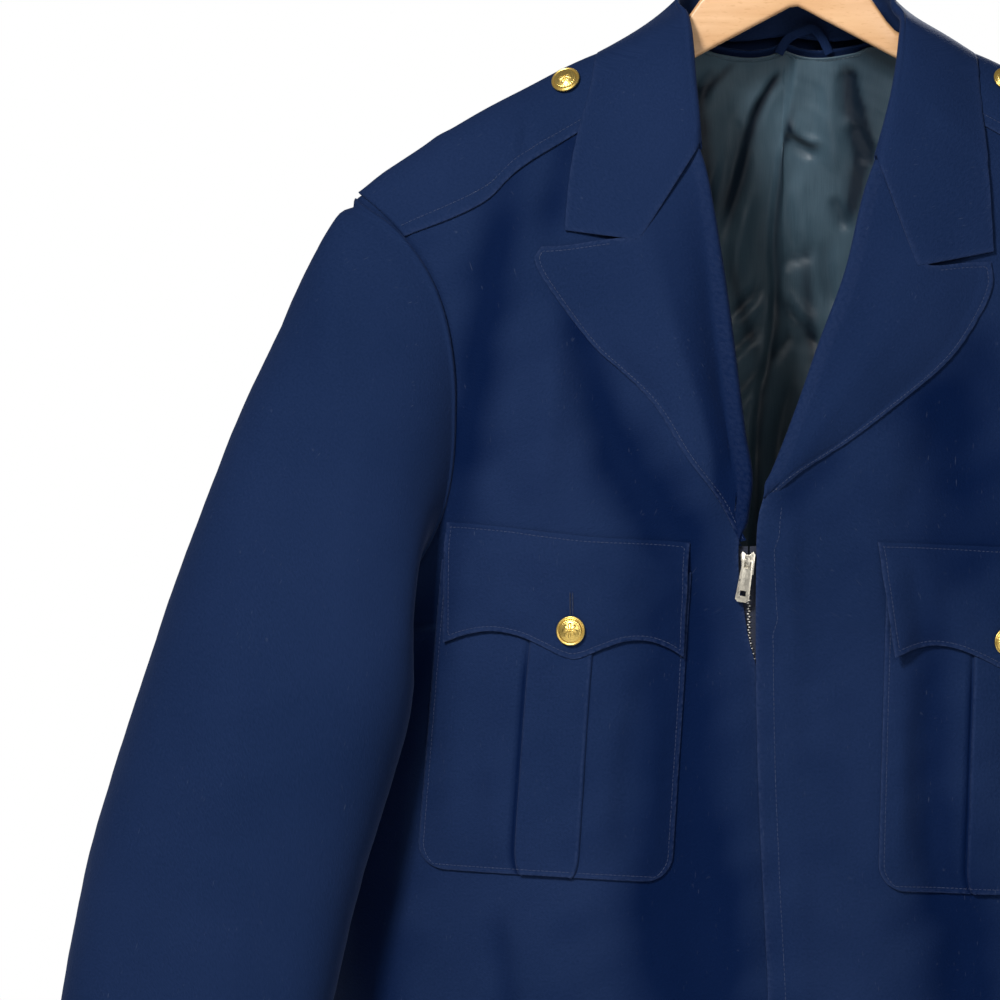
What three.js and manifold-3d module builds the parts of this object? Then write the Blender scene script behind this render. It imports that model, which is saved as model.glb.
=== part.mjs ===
// A zip-front military uniform jacket on a plain wooden hanger.
//
// Millimetres, +Z up. The front faces -Y and the wearer's left is +X. The origin is the
// place where the hanger's hook bears on its rod. Every cloth piece is a thin wall worked
// out from the sizes below; "right" and "left" are the wearer's.
import Module from 'manifold-3d';
import * as THREE from 'three';
import { mergeVertices } from 'three/addons/utils/BufferGeometryUtils.js';

const wasm = await Module();
wasm.setup();

// ---------------------------------------------------------------- driving dimensions
const CLOTH = 1.8;            // folded and interlined wool, wall thickness
const LEAF = 1.3;             // lapel, collar, pocket and strap leaves
const LINING = 1.0;
const REST = 0.35;            // gap between a leaf and what it lies on

const HEM_Z = -753;
const UNDERARM_Z = -450;
const NECK_X = 97;            // where the collar's edge crosses the shoulder
const NECK_Z = -132.7;
const SHOULDER_X = 236;       // half the shoulder width
const SHOULDER_FALL = 0.42;   // slope of the shoulder at the neck
const SHOULDER_BOW = 0.00107; // extra fall towards the sleeve
const NECK_BOW = 0.0009;      // extra rise towards the nape
const NECK_POINT_X = 80;      // end of the shoulder seam under the collar

const SIDE_POWER = 2.6;       // fullness of the body's section
const SIDE_SET = 42;          // the side seam lies this far behind the hanger's plane
const SIDE_SET_RUN = 190;     // and does so from this far under the shoulder
const FRONT_ROUND = { run: 300, bend: 1.5, power: 0.58 };
const BACK_ROUND = { run: 200, bend: 1.5, power: 0.55 };

const BUTTON_RADIUS = 8;
const BUTTON_HEIGHT = 4.6;

// Half width and the front and back depth of the body, from the hem up.
const BODY = [
  { z: -753, half: 262, front: 76, back: 74 },
  { z: -650, half: 257, front: 75, back: 73 },
  { z: -550, half: 251, front: 73, back: 72 },
  { z: -450, half: 248, front: 72, back: 72 },
  { z: -330, half: 259, front: 71, back: 73 },
  { z: -213, half: 300, front: 70, back: 75 },
  { z: -80, half: 320, front: 70, back: 76 },
];

// Soft folds of the hanging cloth: a ridge (+) or trough (-) along a slanting line.
const FOLDS = [
  { face: 'front', x: -131, z: -205, lean: 0.20, reach: 95, width: 17, rise: -3.6 },
  { face: 'front', x: -160, z: -240, lean: 0.10, reach: 90, width: 20, rise: 3.0 },
  { face: 'front', x: -95, z: -345, lean: -0.45, reach: 70, width: 19, rise: -4.2 },
  { face: 'front', x: -150, z: -345, lean: 0.28, reach: 60, width: 22, rise: 2.6 },
  { face: 'front', x: 132, z: -230, lean: -0.16, reach: 95, width: 20, rise: -3.2 },
  { face: 'front', x: 95, z: -350, lean: 0.38, reach: 70, width: 20, rise: -3.4 },
  { face: 'front', x: -40, z: -560, lean: 0.03, reach: 190, width: 20, rise: -5.0 },
  { face: 'front', x: 12, z: -600, lean: -0.05, reach: 190, width: 26, rise: 4.2 },
  { face: 'front', x: -128, z: -690, lean: 0.10, reach: 90, width: 30, rise: 5.5 },
  { face: 'front', x: -188, z: -680, lean: 0.06, reach: 110, width: 24, rise: -5.0 },
  { face: 'front', x: 118, z: -690, lean: -0.08, reach: 90, width: 30, rise: 5.0 },
  { face: 'front', x: 185, z: -670, lean: -0.05, reach: 110, width: 24, rise: -5.0 },
  { face: 'back', x: 0, z: -430, lean: 0.0, reach: 240, width: 26, rise: 3.2 },
  { face: 'back', x: -118, z: -590, lean: 0.10, reach: 190, width: 26, rise: -5.2 },
  { face: 'back', x: 112, z: -600, lean: -0.12, reach: 180, width: 28, rise: -4.8 },
  { face: 'back', x: -150, z: -300, lean: -0.35, reach: 90, width: 22, rise: 3.6 },
  { face: 'back', x: 154, z: -310, lean: 0.30, reach: 90, width: 22, rise: 3.4 },
  { face: 'back', x: 60, z: -660, lean: 0.04, reach: 120, width: 22, rise: 4.0 },
  { face: 'back', x: -55, z: -670, lean: -0.06, reach: 110, width: 24, rise: 3.6 },
];

// Armholes, as the share of the height from the underarm to the shoulder.
const ARMHOLE_FRONT = [
  { up: 0.0, x: 248 }, { up: 0.05, x: 229 }, { up: 0.13, x: 206 }, { up: 0.27, x: 187 },
  { up: 0.46, x: 182 }, { up: 0.6, x: 185 }, { up: 0.72, x: 194 }, { up: 0.85, x: 211 },
  { up: 0.97, x: 232 }, { up: 1.0, x: 236 },
];
const ARMHOLE_BACK = [
  { up: 0.0, x: 248 }, { up: 0.05, x: 236 }, { up: 0.13, x: 221 }, { up: 0.27, x: 206 },
  { up: 0.46, x: 199 }, { up: 0.6, x: 201 }, { up: 0.72, x: 208 }, { up: 0.85, x: 220 },
  { up: 0.97, x: 234 }, { up: 1.0, x: 236 },
];

// Inner edges of the two fronts: closing edge, then roll line, then neck seam.
const EDGE_RIGHT = [
  { z: -753, x: -9.6 }, { z: -640, x: -12.6 }, { z: -560, x: -16.2 }, { z: -500, x: -19.2 },
  { z: -460, x: -21.6 }, { z: -437, x: -24.8 }, { z: -418, x: -27.5 },
  { z: -402, x: -27.6 }, { z: -385, x: -25 }, { z: -365, x: -21 }, { z: -340, x: -24.5 },
  { z: -297, x: -29.5 }, { z: -250, x: -36 }, { z: -204, x: -44 }, { z: -184, x: -51 },
  { z: -161, x: -63 }, { z: -140, x: -73 }, { z: -125, x: -80 },
];
const EDGE_LEFT = [
  { z: -753, x: -9 }, { z: -640, x: -12 }, { z: -520, x: -17.5 }, { z: -400, x: -18 },
  { z: -378, x: -16.5 }, { z: -362, x: -9 }, { z: -327, x: 4 }, { z: -293, x: 16 },
  { z: -253, x: 31 }, { z: -210, x: 42 }, { z: -184, x: 53 }, { z: -161, x: 64 },
  { z: -140, x: 73 }, { z: -125, x: 80 },
];

// Free edges of the lapels, from the break up to the notch.
const LAPEL_RIGHT = [
  { z: -396, free: -29.5 }, { z: -372, free: -41 },
  { z: -350, free: -53 }, { z: -320, free: -70 },
  { z: -290, free: -99 }, { z: -266, free: -124 },
  { z: -247, free: -137.5 }, { z: -240, free: -134 },
];
const LAPEL_LEFT = [
  { z: -376, free: -10 }, { z: -362, free: 6 },
  { z: -345, free: 33 }, { z: -322, free: 63 },
  { z: -303, free: 85 }, { z: -285, free: 99 },
  { z: -262, free: 110.5 }, { z: -251, free: 110 },
];

// Collar from its front end to the nape: fold line and free edge. The edge lies "fall"
// under the shoulder's ridge, in front of it or, below zero, behind it.
const COLLAR_RIGHT = [
  { at: 0.0, foldX: 53, foldY: -39, foldZ: -184.5, edgeX: 120.5, fall: 88 },
  { at: 0.14, foldX: 52.5, foldY: -36, foldZ: -165, edgeX: 118, fall: 63 },
  { at: 0.27, foldX: 53, foldY: -30, foldZ: -146, edgeX: 114, fall: 41 },
  { at: 0.4, foldX: 54.5, foldY: -22, foldZ: -127, edgeX: 108, fall: 20.5 },
  { at: 0.53, foldX: 57, foldY: -10, foldZ: -112, edgeX: 103, fall: 5 },
];
const COLLAR_LEFT = [
  { at: 0.0, foldX: 56, foldY: -39, foldZ: -187, edgeX: 111, fall: 104 },
  { at: 0.14, foldX: 57, foldY: -36, foldZ: -166, edgeX: 109.5, fall: 76 },
  { at: 0.27, foldX: 59, foldY: -30, foldZ: -146, edgeX: 108, fall: 50 },
  { at: 0.4, foldX: 61, foldY: -22, foldZ: -127, edgeX: 105.5, fall: 25 },
  { at: 0.53, foldX: 62, foldY: -10, foldZ: -112, edgeX: 103, fall: 5 },
];
const COLLAR_NAPE = [
  { at: 0.6, foldX: 60, foldY: -2, foldZ: -106.5, edgeX: 101, fall: -1 },
  { at: 0.66, foldX: 59, foldY: 7, foldZ: -101, edgeX: 97, fall: -7 },
  { at: 0.78, foldX: 48, foldY: 24, foldZ: -92.5, edgeX: 76, fall: -24.5 },
  { at: 0.89, foldX: 27, foldY: 36, foldZ: -88, edgeX: 41, fall: -46 },
  { at: 1.0, foldX: 0, foldY: 41, foldZ: -86, edgeX: 0, fall: -72 },
];
const COLLAR_RIDGE = { at: 0.58, reach: 0.09, lift: 4.2 };
const COLLAR_LIFT = 3.2;      // its underside clears the shoulder straps
const COLLAR_PUFF = 3.2;
const GORGE = { drop: 31, place: 0.45, reach: 0.26, share: 0.36, climb: 55 };

// Foot of the collar stand, from the shoulder seam to the nape.
const STAND = [
  { at: 0.53, x: 70, y: -3, z: -121 }, { at: 0.66, x: 68, y: 10, z: -120 },
  { at: 0.78, x: 52, y: 21.5, z: -120.7 }, { at: 0.89, x: 28, y: 31, z: -124.5 },
  { at: 1.0, x: 0, y: 36.5, z: -121.5 },
];

// Sleeve sections from the cuff up the arm, perpendicular to it.
const SLEEVE = [
  { z: -832, x: 353.5, y: -38, half: 66, depth: 30.5, tilt: 9 },
  { z: -790, x: 347, y: -37, half: 67.5, depth: 32, tilt: 9.5 },
  { z: -740, x: 338.5, y: -35, half: 70, depth: 34, tilt: 10.5 },
  { z: -680, x: 328, y: -33, half: 73, depth: 36, tilt: 12 },
  { z: -630, x: 319, y: -32, half: 74.5, depth: 37.5, tilt: 13.5 },
  { z: -580, x: 308, y: -31, half: 75, depth: 39, tilt: 16 },
  { z: -530, x: 293, y: -30, half: 75, depth: 39.5, tilt: 18 },
  { z: -480, x: 277, y: -29, half: 74, depth: 39, tilt: 20 },
];
// Which place of the section each turn of the armhole leads to: 0.5 is the inner edge.
const SECTION_MAP = [
  { turn: 0, share: 0 }, { turn: 0.125, share: 0.12 }, { turn: 0.25, share: 0.25 },
  { turn: 0.34, share: 0.38 }, { turn: 0.4, share: 0.49 }, { turn: 0.44, share: 0.57 },
  { turn: 0.5, share: 0.72 }, { turn: 0.6, share: 0.79 }, { turn: 0.75, share: 0.87 },
  { turn: 1, share: 1 },
];
const SLEEVE_SEAM = 0.75;
const SLEEVE_YAW = 18;        // degrees that the sleeve's inner edge is turned forward
const SLEEVE_POWER = 2.25;

// How the sleeve leaves the armhole: round the seam from the shoulder down the front.
const SLEEVE_HEAD = [
  { turn: 0.0, x: 0.62, y: 0.0, z: -0.78, start: 34, end: 105 },
  { turn: 0.12, x: 0.78, y: -0.2, z: -0.55, start: 44, end: 95 },
  { turn: 0.25, x: 0.8, y: -0.35, z: -0.5, start: 46, end: 75 },
  { turn: 0.33, x: 0.6, y: -0.75, z: -0.25, start: 34, end: 45 },
  { turn: 0.4, x: 0.45, y: -0.88, z: 0.0, start: 26, end: 22 },
  { turn: 0.44, x: 0.5, y: -0.85, z: 0.15, start: 26, end: 12 },
  { turn: 0.5, x: 0.8, y: -0.55, z: 0.1, start: 16, end: 12 },
  { turn: 0.6, x: 0.9, y: -0.3, z: -0.2, start: 24, end: 30 },
  { turn: 0.75, x: 0.88, y: -0.05, z: -0.45, start: 46, end: 75 },
  { turn: 0.88, x: 0.8, y: 0.12, z: -0.55, start: 44, end: 95 },
  { turn: 1.0, x: 0.62, y: 0.0, z: -0.78, start: 34, end: 105 },
];
// Soft folds of the sleeves, by the turn round the arm.
const SLEEVE_FOLDS = [
  { turn: 0.1, z: -275, reach: 50, width: 0.06, rise: 3.2 },
  { turn: 0.2, z: -310, reach: 60, width: 0.06, rise: -3.4 },
  { turn: 0.3, z: -350, reach: 55, width: 0.06, rise: 2.6 },
  { turn: 0.05, z: -560, reach: 170, width: 0.06, rise: 2.2 },
  { turn: 0.3, z: -520, reach: 90, width: 0.07, rise: -2.6 },
  { turn: 0.2, z: -640, reach: 120, width: 0.07, rise: 2.4 },
  { turn: 0.7, z: -560, reach: 90, width: 0.07, rise: -3.0 },
  { turn: 0.8, z: -660, reach: 110, width: 0.07, rise: 2.8 },
];

// Shoulder strap: how far its edges fall in front of and behind the shoulder's ridge.
const STRAP = [
  { x: 88, front: 34, back: 5 }, { x: 109, front: 36.6, back: 6 },
  { x: 139, front: 40.3, back: 7 }, { x: 150, front: 42.7, back: 8 },
  { x: 163, front: 48.4, back: 9 }, { x: 182, front: 47.5, back: 9 },
  { x: 212, front: 40, back: 9 }, { x: 236, front: 36, back: 9 },
];
const STRAP_TIP = 12;         // how far the strap's end is rounded back
const STRAP_BUTTON = { x: 120.4, z: -151 };

// Patch pockets. The top edge of the flap is "slope", the long axis is "lean".
const POCKETS = {
  right: { x: -118, z: -397, slope: -0.053, lean: -0.066, length: 184, lifted: 0, button: 3.6 },
  left: { x: 117, z: -403, slope: -0.04, lean: 0.02, length: 188, lifted: 4.5, button: -1 },
};
const POCKET_HALF = 66;
const POCKET_TOP = 16;        // the pouch starts this far under the flap's top edge
const POCKET_CORNER = 15;
const PLEAT_HALF = 16.5;
const PLEAT_RISE = 1.1;
const FLAP_HALF = 64.5;
const FLAP_BUTTON_DROP = 51;
const FLAP_EDGE = [
  { at: 0.0, drop: 66.6 }, { at: 0.09, drop: 65 }, { at: 0.22, drop: 61 },
  { at: 0.43, drop: 55.6 }, { at: 0.64, drop: 54.2 }, { at: 0.84, drop: 57.2 },
  { at: 1.0, drop: 62 },
];

const ZIP = { x: -22.5, top: -402, tape: 13, chain: 0.5, thickness: 0.9, behind: 1.3 };
// The chain's own line: it slants under the left front towards the hem.
const ZIP_LINE = [
  { z: -753, x: -9.3 }, { z: -640, x: -12.3 }, { z: -560, x: -16.2 }, { z: -500, x: -19.6 },
  { z: -450, x: -22.2 }, { z: -425, x: -22.5 }, { z: -400, x: -22.5 },
];
const SLIDER = { z: -411.5, half: 4, length: 12.5, back: -2.7, face: 3, taper: 1.1 };
const STAPLE = { half: 1, inner: 1.35, outer: 2.5, clear: 2.25, height: 3.4 };
const TAB = { half: 3.8, length: 22.5, thickness: 1.3, lean: 9, bar: 0.65, window: 4, slot: 1.75 };
const TAB_AXIS = { z: -410.2, lift: 4.1 };

const HANGER = { half: 211, thickness: 9, bevel: 3, apex: -110, fall: 0.53, crown: -72 };
const HANGER_CLEAR = 4.7;       // wood below the outer shoulder line
const HANGER_NECK = { from: 42, to: 62, fall: 0.62 };
const HOOK = { wire: 2, inside: 17, foot: -71.2, tip: -34 };
const LOOP = { width: 5, thickness: 1, left: -3, right: 27, z: -122, drop: 14, y: 29.1 };

// ---------------------------------------------------------------- small helpers
const clamp = (value, low, high) => Math.min(Math.max(value, low), high);
const mix = (a, b, t) => a + (b - a) * t;
const radians = (degrees) => (degrees * Math.PI) / 180;
const vec = (x, y, z) => new THREE.Vector3(x, y, z);

function smooth(value) {
  const t = clamp(value, 0, 1);
  return t * t * (3 - 2 * t);
}

// Evenly spaced values from a to b, both included.
function steps(a, b, count) {
  return Array.from({ length: count + 1 }, (_, i) => mix(a, b, i / count));
}

// Smooth value of a table's column at a place along its rising key.
function along(table, key, column, place) {
  const last = table.length - 1;
  const at = clamp(place, table[0][key], table[last][key]);
  let i = 0;
  while (i < last - 1 && table[i + 1][key] < at) i += 1;
  const slope = (j) => {
    const a = table[Math.max(j - 1, 0)];
    const b = table[Math.min(j + 1, last)];
    return (b[column] - a[column]) / (b[key] - a[key]);
  };
  const span = table[i + 1][key] - table[i][key];
  const t = (at - table[i][key]) / span;
  const a = table[i][column];
  const b = table[i + 1][column];
  const ta = slope(i) * span;
  const tb = slope(i + 1) * span;
  const t2 = t * t;
  const t3 = t2 * t;
  return (2 * t3 - 3 * t2 + 1) * a + (t3 - 2 * t2 + t) * ta
    + (3 * t2 - 2 * t3) * b + (t3 - t2) * tb;
}

// ---------------------------------------------------------------- solids from sheets
// Closed solid between an outer and an inner sheet of points, both [row][column].
// A round sheet's last column joins its first.
function wall(outer, inner, round = false) {
  const rows = outer.length;
  const cols = outer[0].length;
  const positions = [];
  for (const sheet of [outer, inner]) {
    for (const row of sheet) {
      for (const point of row) positions.push(point.x, point.y, point.z);
    }
  }
  const o = (r, c) => r * cols + (c % cols);
  const n = (r, c) => rows * cols + o(r, c);
  const faces = [];
  const quad = (a, b, c, d) => faces.push([a, b, c], [a, c, d]);
  const spans = round ? cols : cols - 1;
  for (let r = 0; r < rows - 1; r += 1) {
    for (let c = 0; c < spans; c += 1) {
      quad(o(r, c), o(r, c + 1), o(r + 1, c + 1), o(r + 1, c));
      quad(n(r, c), n(r + 1, c), n(r + 1, c + 1), n(r, c + 1));
    }
  }
  const top = rows - 1;
  for (let c = 0; c < spans; c += 1) {
    quad(o(0, c + 1), o(0, c), n(0, c), n(0, c + 1));
    quad(o(top, c), o(top, c + 1), n(top, c + 1), n(top, c));
  }
  if (!round) {
    const end = cols - 1;
    for (let r = 0; r < top; r += 1) {
      quad(o(r, 0), o(r + 1, 0), n(r + 1, 0), n(r, 0));
      quad(o(r + 1, end), o(r, end), n(r, end), n(r + 1, end));
    }
  }
  const geometry = new THREE.BufferGeometry();
  geometry.setAttribute('position', new THREE.Float32BufferAttribute(positions, 3));
  geometry.setIndex(faces.flat());
  return facingOut(geometry);
}

// Turns a closed geometry inside out when its volume is negative.
function facingOut(geometry) {
  const p = geometry.attributes.position;
  const index = geometry.index.array;
  const a = new THREE.Vector3();
  const b = new THREE.Vector3();
  const c = new THREE.Vector3();
  let volume = 0;
  for (let i = 0; i < index.length; i += 3) {
    a.fromBufferAttribute(p, index[i]);
    b.fromBufferAttribute(p, index[i + 1]);
    c.fromBufferAttribute(p, index[i + 2]);
    volume += a.dot(b.cross(c));
  }
  if (volume < 0) {
    for (let i = 0; i < index.length; i += 3) {
      [index[i], index[i + 1]] = [index[i + 1], index[i]];
    }
  }
  geometry.computeVertexNormals();
  return geometry;
}

// Keeps only the positions of a three.js geometry and merges its shared points.
function welded(geometry) {
  geometry.deleteAttribute('normal');
  geometry.deleteAttribute('uv');
  return facingOut(mergeVertices(geometry, 1e-3));
}

// Unit normal of surface(column, row); side is 1 or -1 and picks the outer side.
function normalOf(surface, c, r, side) {
  const e = 1e-3;
  const across = surface(Math.min(c + e, 1), r).sub(surface(Math.max(c - e, 0), r));
  const up = surface(c, Math.min(r + e, 1)).sub(surface(c, Math.max(r - e, 0)));
  return across.cross(up).normalize().multiplyScalar(side);
}

// Wall on a surface over [0, 1] x [0, 1], from "low" to "high" above it.
function shell(surface, columns, rows, side, low, high) {
  const lifted = (lift) => rows.map((r) => columns.map((c) => {
    const normal = normalOf(surface, c, r, side);
    return surface(c, r).addScaledVector(normal, lift);
  }));
  return wall(lifted(high), lifted(low));
}

// ---------------------------------------------------------------- the scene
const WOOL = { color: 0x1a2a4d, roughness: 0.88, metalness: 0 };
const SATIN = { color: 0x3a4c5c, roughness: 0.45, metalness: 0 };
const TAPE = { color: 0x10182c, roughness: 0.9, metalness: 0 };
const BRASS = { color: 0xe4ba5a, roughness: 0.3, metalness: 1 };
const NICKEL = { color: 0xd8d0bd, roughness: 0.3, metalness: 1 };
const STEEL = { color: 0xc8cacc, roughness: 0.25, metalness: 1 };
const WOOD = { color: 0xf2c08a, roughness: 0.5, metalness: 0 };

const group = new THREE.Group();
function add(name, geometry, finish) {
  const mesh = new THREE.Mesh(geometry, new THREE.MeshStandardMaterial(finish));
  mesh.name = name;
  group.add(mesh);
  return mesh;
}

// ---------------------------------------------------------------- the body's form
// Height of the shoulder's ridge, and of its run on over the neck.
function ridgeZ(x) {
  const out = Math.abs(x) - NECK_X;
  const bow = out > 0 ? -SHOULDER_BOW : NECK_BOW;
  return NECK_Z - SHOULDER_FALL * out + bow * out * out;
}

function roundness(fall, form) {
  const share = clamp(fall / form.run, 0, 1);
  return (1 - (1 - share) ** form.bend) ** form.power;
}

function foldRise(x, z, face) {
  let rise = 0;
  for (const fold of FOLDS) {
    const down = z - fold.z;
    const off = (x - fold.x - fold.lean * down) / fold.width;
    const reach = down / fold.reach;
    if (fold.face === (face === FRONT ? 'front' : 'back') && Math.abs(reach) < 1) {
      rise += fold.rise * Math.exp(-off * off) * (1 - reach * reach) ** 2;
    }
  }
  return rise;
}

const FRONT = -1;
const BACK = 1;
const RIGHT = -1;
const LEFT = 1;

// Depth of the body's outer face at x, z.
function bodyY(x, z, face) {
  const half = along(BODY, 'z', 'half', z);
  const q = Math.min(Math.abs(x) / half, 1);
  const side = Math.sqrt(1 - q ** SIDE_POWER);
  const depth = along(BODY, 'z', face < 0 ? 'front' : 'back', z);
  const fall = ridgeZ(x) - z;
  const round = roundness(fall, face < 0 ? FRONT_ROUND : BACK_ROUND);
  const set = SIDE_SET * q ** 3 * smooth(fall / SIDE_SET_RUN);
  return (face * (depth + foldRise(x, z, face)) * side + set) * round;
}

// Body point from its angle round the section, so that the side seam is sampled well.
function bodyPoint(angle, z, face) {
  const x = along(BODY, 'z', 'half', z) * Math.sin(angle);
  return vec(x, bodyY(x, z, face), z);
}

// x and z of the body's grid: "in" is the inner edge's x, "share" goes from it to the
// outer seam, "up" is 0 at the hem and 1 at the shoulder.
const HEM_SHARE = 0.45;
const LEVEL_PASSES = 12;
const CHEST_BEND = 1.6;       // rows lie closer together towards the shoulder
const NAPE_DIP = 40;          // the nape lies this far under the run of the shoulders
const NAPE_START = 0.72;
function gridPoint(edge, armhole, sign, share, up, face) {
  if (up <= HEM_SHARE) {
    const z = mix(HEM_Z, UNDERARM_Z, up / HEM_SHARE);
    const half = along(BODY, 'z', 'half', z);
    const start = Math.asin(edge(z) / half);
    return bodyPoint(mix(start, sign * Math.PI / 2, share), z, face);
  }
  const rise = (up - HEM_SHARE) / (1 - HEM_SHARE);
  const height = 1 - (1 - rise) ** CHEST_BEND;
  let z = UNDERARM_Z;           // the edge's own level, which its x depends on
  for (let i = 0; i < LEVEL_PASSES; i += 1) z = mix(UNDERARM_Z, ridgeZ(edge(z)), height);
  const outer = sign * along(armhole, 'up', 'x', height);
  const half = along(BODY, 'z', 'half', z);
  const start = Math.asin(clamp(edge(z) / half, -1, 1));
  const end = Math.asin(clamp(outer / half, -1, 1));
  const x = half * Math.sin(mix(start, end, share));
  const level = mix(UNDERARM_Z, ridgeZ(x), height);
  return vec(x, bodyY(x, level, face), level);
}

const edgeRight = (z) => along(EDGE_RIGHT, 'z', 'x', z);
const edgeLeft = (z) => along(EDGE_LEFT, 'z', 'x', z);

// Seams stop just short of the side and of the shoulder's ridge.
const SIDE_SHARE = 0.9988;
const FRONT_UP = 0.9964;
const BACK_UP = 0.9985;
function frontSurface(sign) {
  const edge = sign < 0 ? edgeRight : edgeLeft;
  return (c, r) => gridPoint(edge, ARMHOLE_FRONT, sign, c * SIDE_SHARE, r * FRONT_UP, FRONT);
}

// The back is sampled from the left seam (0) over the spine to the right seam (1).
function backSurface(c, r) {
  const sign = c < 0.5 ? 1 : -1;
  const share = Math.abs(c - 0.5) * 2 * SIDE_SHARE;
  const point = gridPoint(() => 0, ARMHOLE_BACK, sign, share, r * BACK_UP, BACK);
  const neck = smooth(1 - Math.abs(point.x) / NECK_POINT_X);
  const z = point.z - NAPE_DIP * neck * smooth((r - NAPE_START) / (1 - NAPE_START));
  return vec(point.x, bodyY(point.x, z, BACK), z);
}

// Point above the body's front or back.
const SLOPE_STEP = 0.5;
function onBody(x, z, face, lift) {
  const e = SLOPE_STEP;
  const slopeX = (bodyY(x + e, z, face) - bodyY(x - e, z, face)) / (2 * e);
  const slopeZ = (bodyY(x, z + e, face) - bodyY(x, z - e, face)) / (2 * e);
  const normal = vec(-face * slopeX, face, -face * slopeZ).normalize();
  return vec(x, bodyY(x, z, face), z).addScaledVector(normal, lift);
}

const onFront = (x, z, lift) => onBody(x, z, FRONT, lift);

// ---------------------------------------------------------------- cloth pieces
const HEM_ROWS = steps(0, HEM_SHARE, 7);
const LOOP_HALF = 10;         // armhole points down the front, and up the back
const loopUp = (share) => mix(HEM_SHARE, 1, (1 + Math.cos(Math.PI * share)) / 2);
const CHEST_ROWS = steps(1, 0, LOOP_HALF).map(loopUp).slice(1);
const BODY_ROWS = [...HEM_ROWS, ...CHEST_ROWS];

function front(sign) {
  return shell(frontSurface(sign), steps(0, 1, 14), BODY_ROWS, sign, -CLOTH, 0);
}

function back() {
  return shell(backSurface, steps(0, 1, 24), BODY_ROWS, 1, -CLOTH, 0);
}

// A leaf that lies on the front: "place" gives its x and z, "low" and "high" its height.
function frontLeaf(place, columns, rows, low, high) {
  const lifted = (lift) => rows.map((r) => columns.map((c) => {
    const { x, z, rise = 0 } = place(c, r);
    return onFront(x, z, lift + rise);
  }));
  return wall(lifted(high), lifted(low));
}

// ---- sleeves
// The armhole's loop: outer and inner edge points of the body, and the way out of them.
const SLEEVE_TURNS = LOOP_HALF * 2;
function armholeLoop(sign) {
  const frontPanel = frontSurface(sign);
  const backPanel = (c, r) => backSurface(sign > 0 ? 0.5 - c / 2 : 0.5 + c / 2, r);
  const points = [];
  for (let k = 0; k < SLEEVE_TURNS; k += 1) {
    const turn = k / SLEEVE_TURNS;
    const inFront = turn <= 0.5;
    const down = inFront ? turn * 2 : 2 - turn * 2;
    const up = loopUp(down);
    const panel = inFront ? frontPanel : backPanel;
    const facing = inFront ? sign : -sign;
    points.push({ turn, at: panel(1, up), normal: normalOf(panel, 1, up, facing) });
  }
  for (const end of [0, SLEEVE_TURNS / 2]) {
    points[end].at.y = end === 0 ? 0 : SIDE_SET;
    points[end].normal = end === 0 ? vec(sign * 0.5, 0, 0.87) : vec(sign, 0, 0);
  }
  points.forEach((point, k) => {
    const next = points[(k + 1) % SLEEVE_TURNS].at;
    const before = points[(k + SLEEVE_TURNS - 1) % SLEEVE_TURNS].at;
    const run = next.clone().sub(before).normalize();
    point.away = run.cross(point.normal).normalize().multiplyScalar(-sign);
  });
  return points;
}

// Point of a sleeve section; the turn runs as the armhole's does.
function sectionPoint(sign, centre, turn) {
  const share = along(SECTION_MAP, 'turn', 'share', turn);
  const angle = Math.PI * (1 - 2 * share);
  const cos = Math.cos(angle);
  const sin = Math.sin(angle);
  const u = Math.sign(cos) * Math.abs(cos) ** (2 / SLEEVE_POWER) * centre.half;
  const v = -Math.sign(sin) * Math.abs(sin) ** (2 / SLEEVE_POWER) * centre.depth;
  const tilt = radians(centre.tilt);
  const yaw = radians(SLEEVE_YAW);
  const inward = vec(Math.cos(tilt) * Math.cos(yaw), -Math.sin(yaw), -Math.sin(tilt) * Math.cos(yaw));
  const rear = vec(Math.cos(tilt) * Math.sin(yaw), Math.cos(yaw), -Math.sin(tilt) * Math.sin(yaw));
  const point = vec(-centre.x, centre.y, centre.z).addScaledVector(inward, u).addScaledVector(rear, v);
  return vec(point.x * -sign, point.y, point.z);
}

function sleeveSection(z) {
  const read = (column) => along(SLEEVE, 'z', column, z);
  return { z, x: read('x'), y: read('y'), half: read('half'), depth: read('depth'), tilt: read('tilt') };
}
const HEAD_SHARE = 0.36;      // share of the sleeve's rows in its head
const CUFF_Z = SLEEVE[0].z;
const HEAD_FOOT_Z = SLEEVE[SLEEVE.length - 1].z;
function sleeveSurface(sign, loop) {
  const first = sleeveSection(HEAD_FOOT_Z);
  const tilt = radians(first.tilt);
  const down = vec(sign * Math.sin(tilt), 0, -Math.cos(tilt));
  return (k, r) => {
    const { turn, at, away } = loop[k % SLEEVE_TURNS];
    let point;
    if (r >= HEAD_SHARE) {
      const z = mix(HEAD_FOOT_Z, CUFF_Z, (r - HEAD_SHARE) / (1 - HEAD_SHARE));
      point = sectionPoint(sign, sleeveSection(z), turn);
    } else {
      const read = (column) => along(SLEEVE_HEAD, 'turn', column, turn);
      const way = vec(sign * read('x'), read('y'), read('z')).normalize();
      const a = at.clone().addScaledVector(away, SLEEVE_SEAM);
      const d = sectionPoint(sign, first, turn);
      const b = a.clone().addScaledVector(way, read('start'));
      const c = d.clone().addScaledVector(down, -read('end'));
      point = new THREE.CubicBezierCurve3(a, b, c, d).getPoint(r / HEAD_SHARE);
    }
    return point;
  };
}

function sleeveFoldRise(turn, z) {
  let rise = 0;
  for (const fold of SLEEVE_FOLDS) {
    const off = (turn - fold.turn) / fold.width;
    const reach = (z - fold.z) / fold.reach;
    if (Math.abs(reach) < 1) rise += fold.rise * Math.exp(-off * off) * (1 - reach * reach) ** 2;
  }
  return rise;
}

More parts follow.
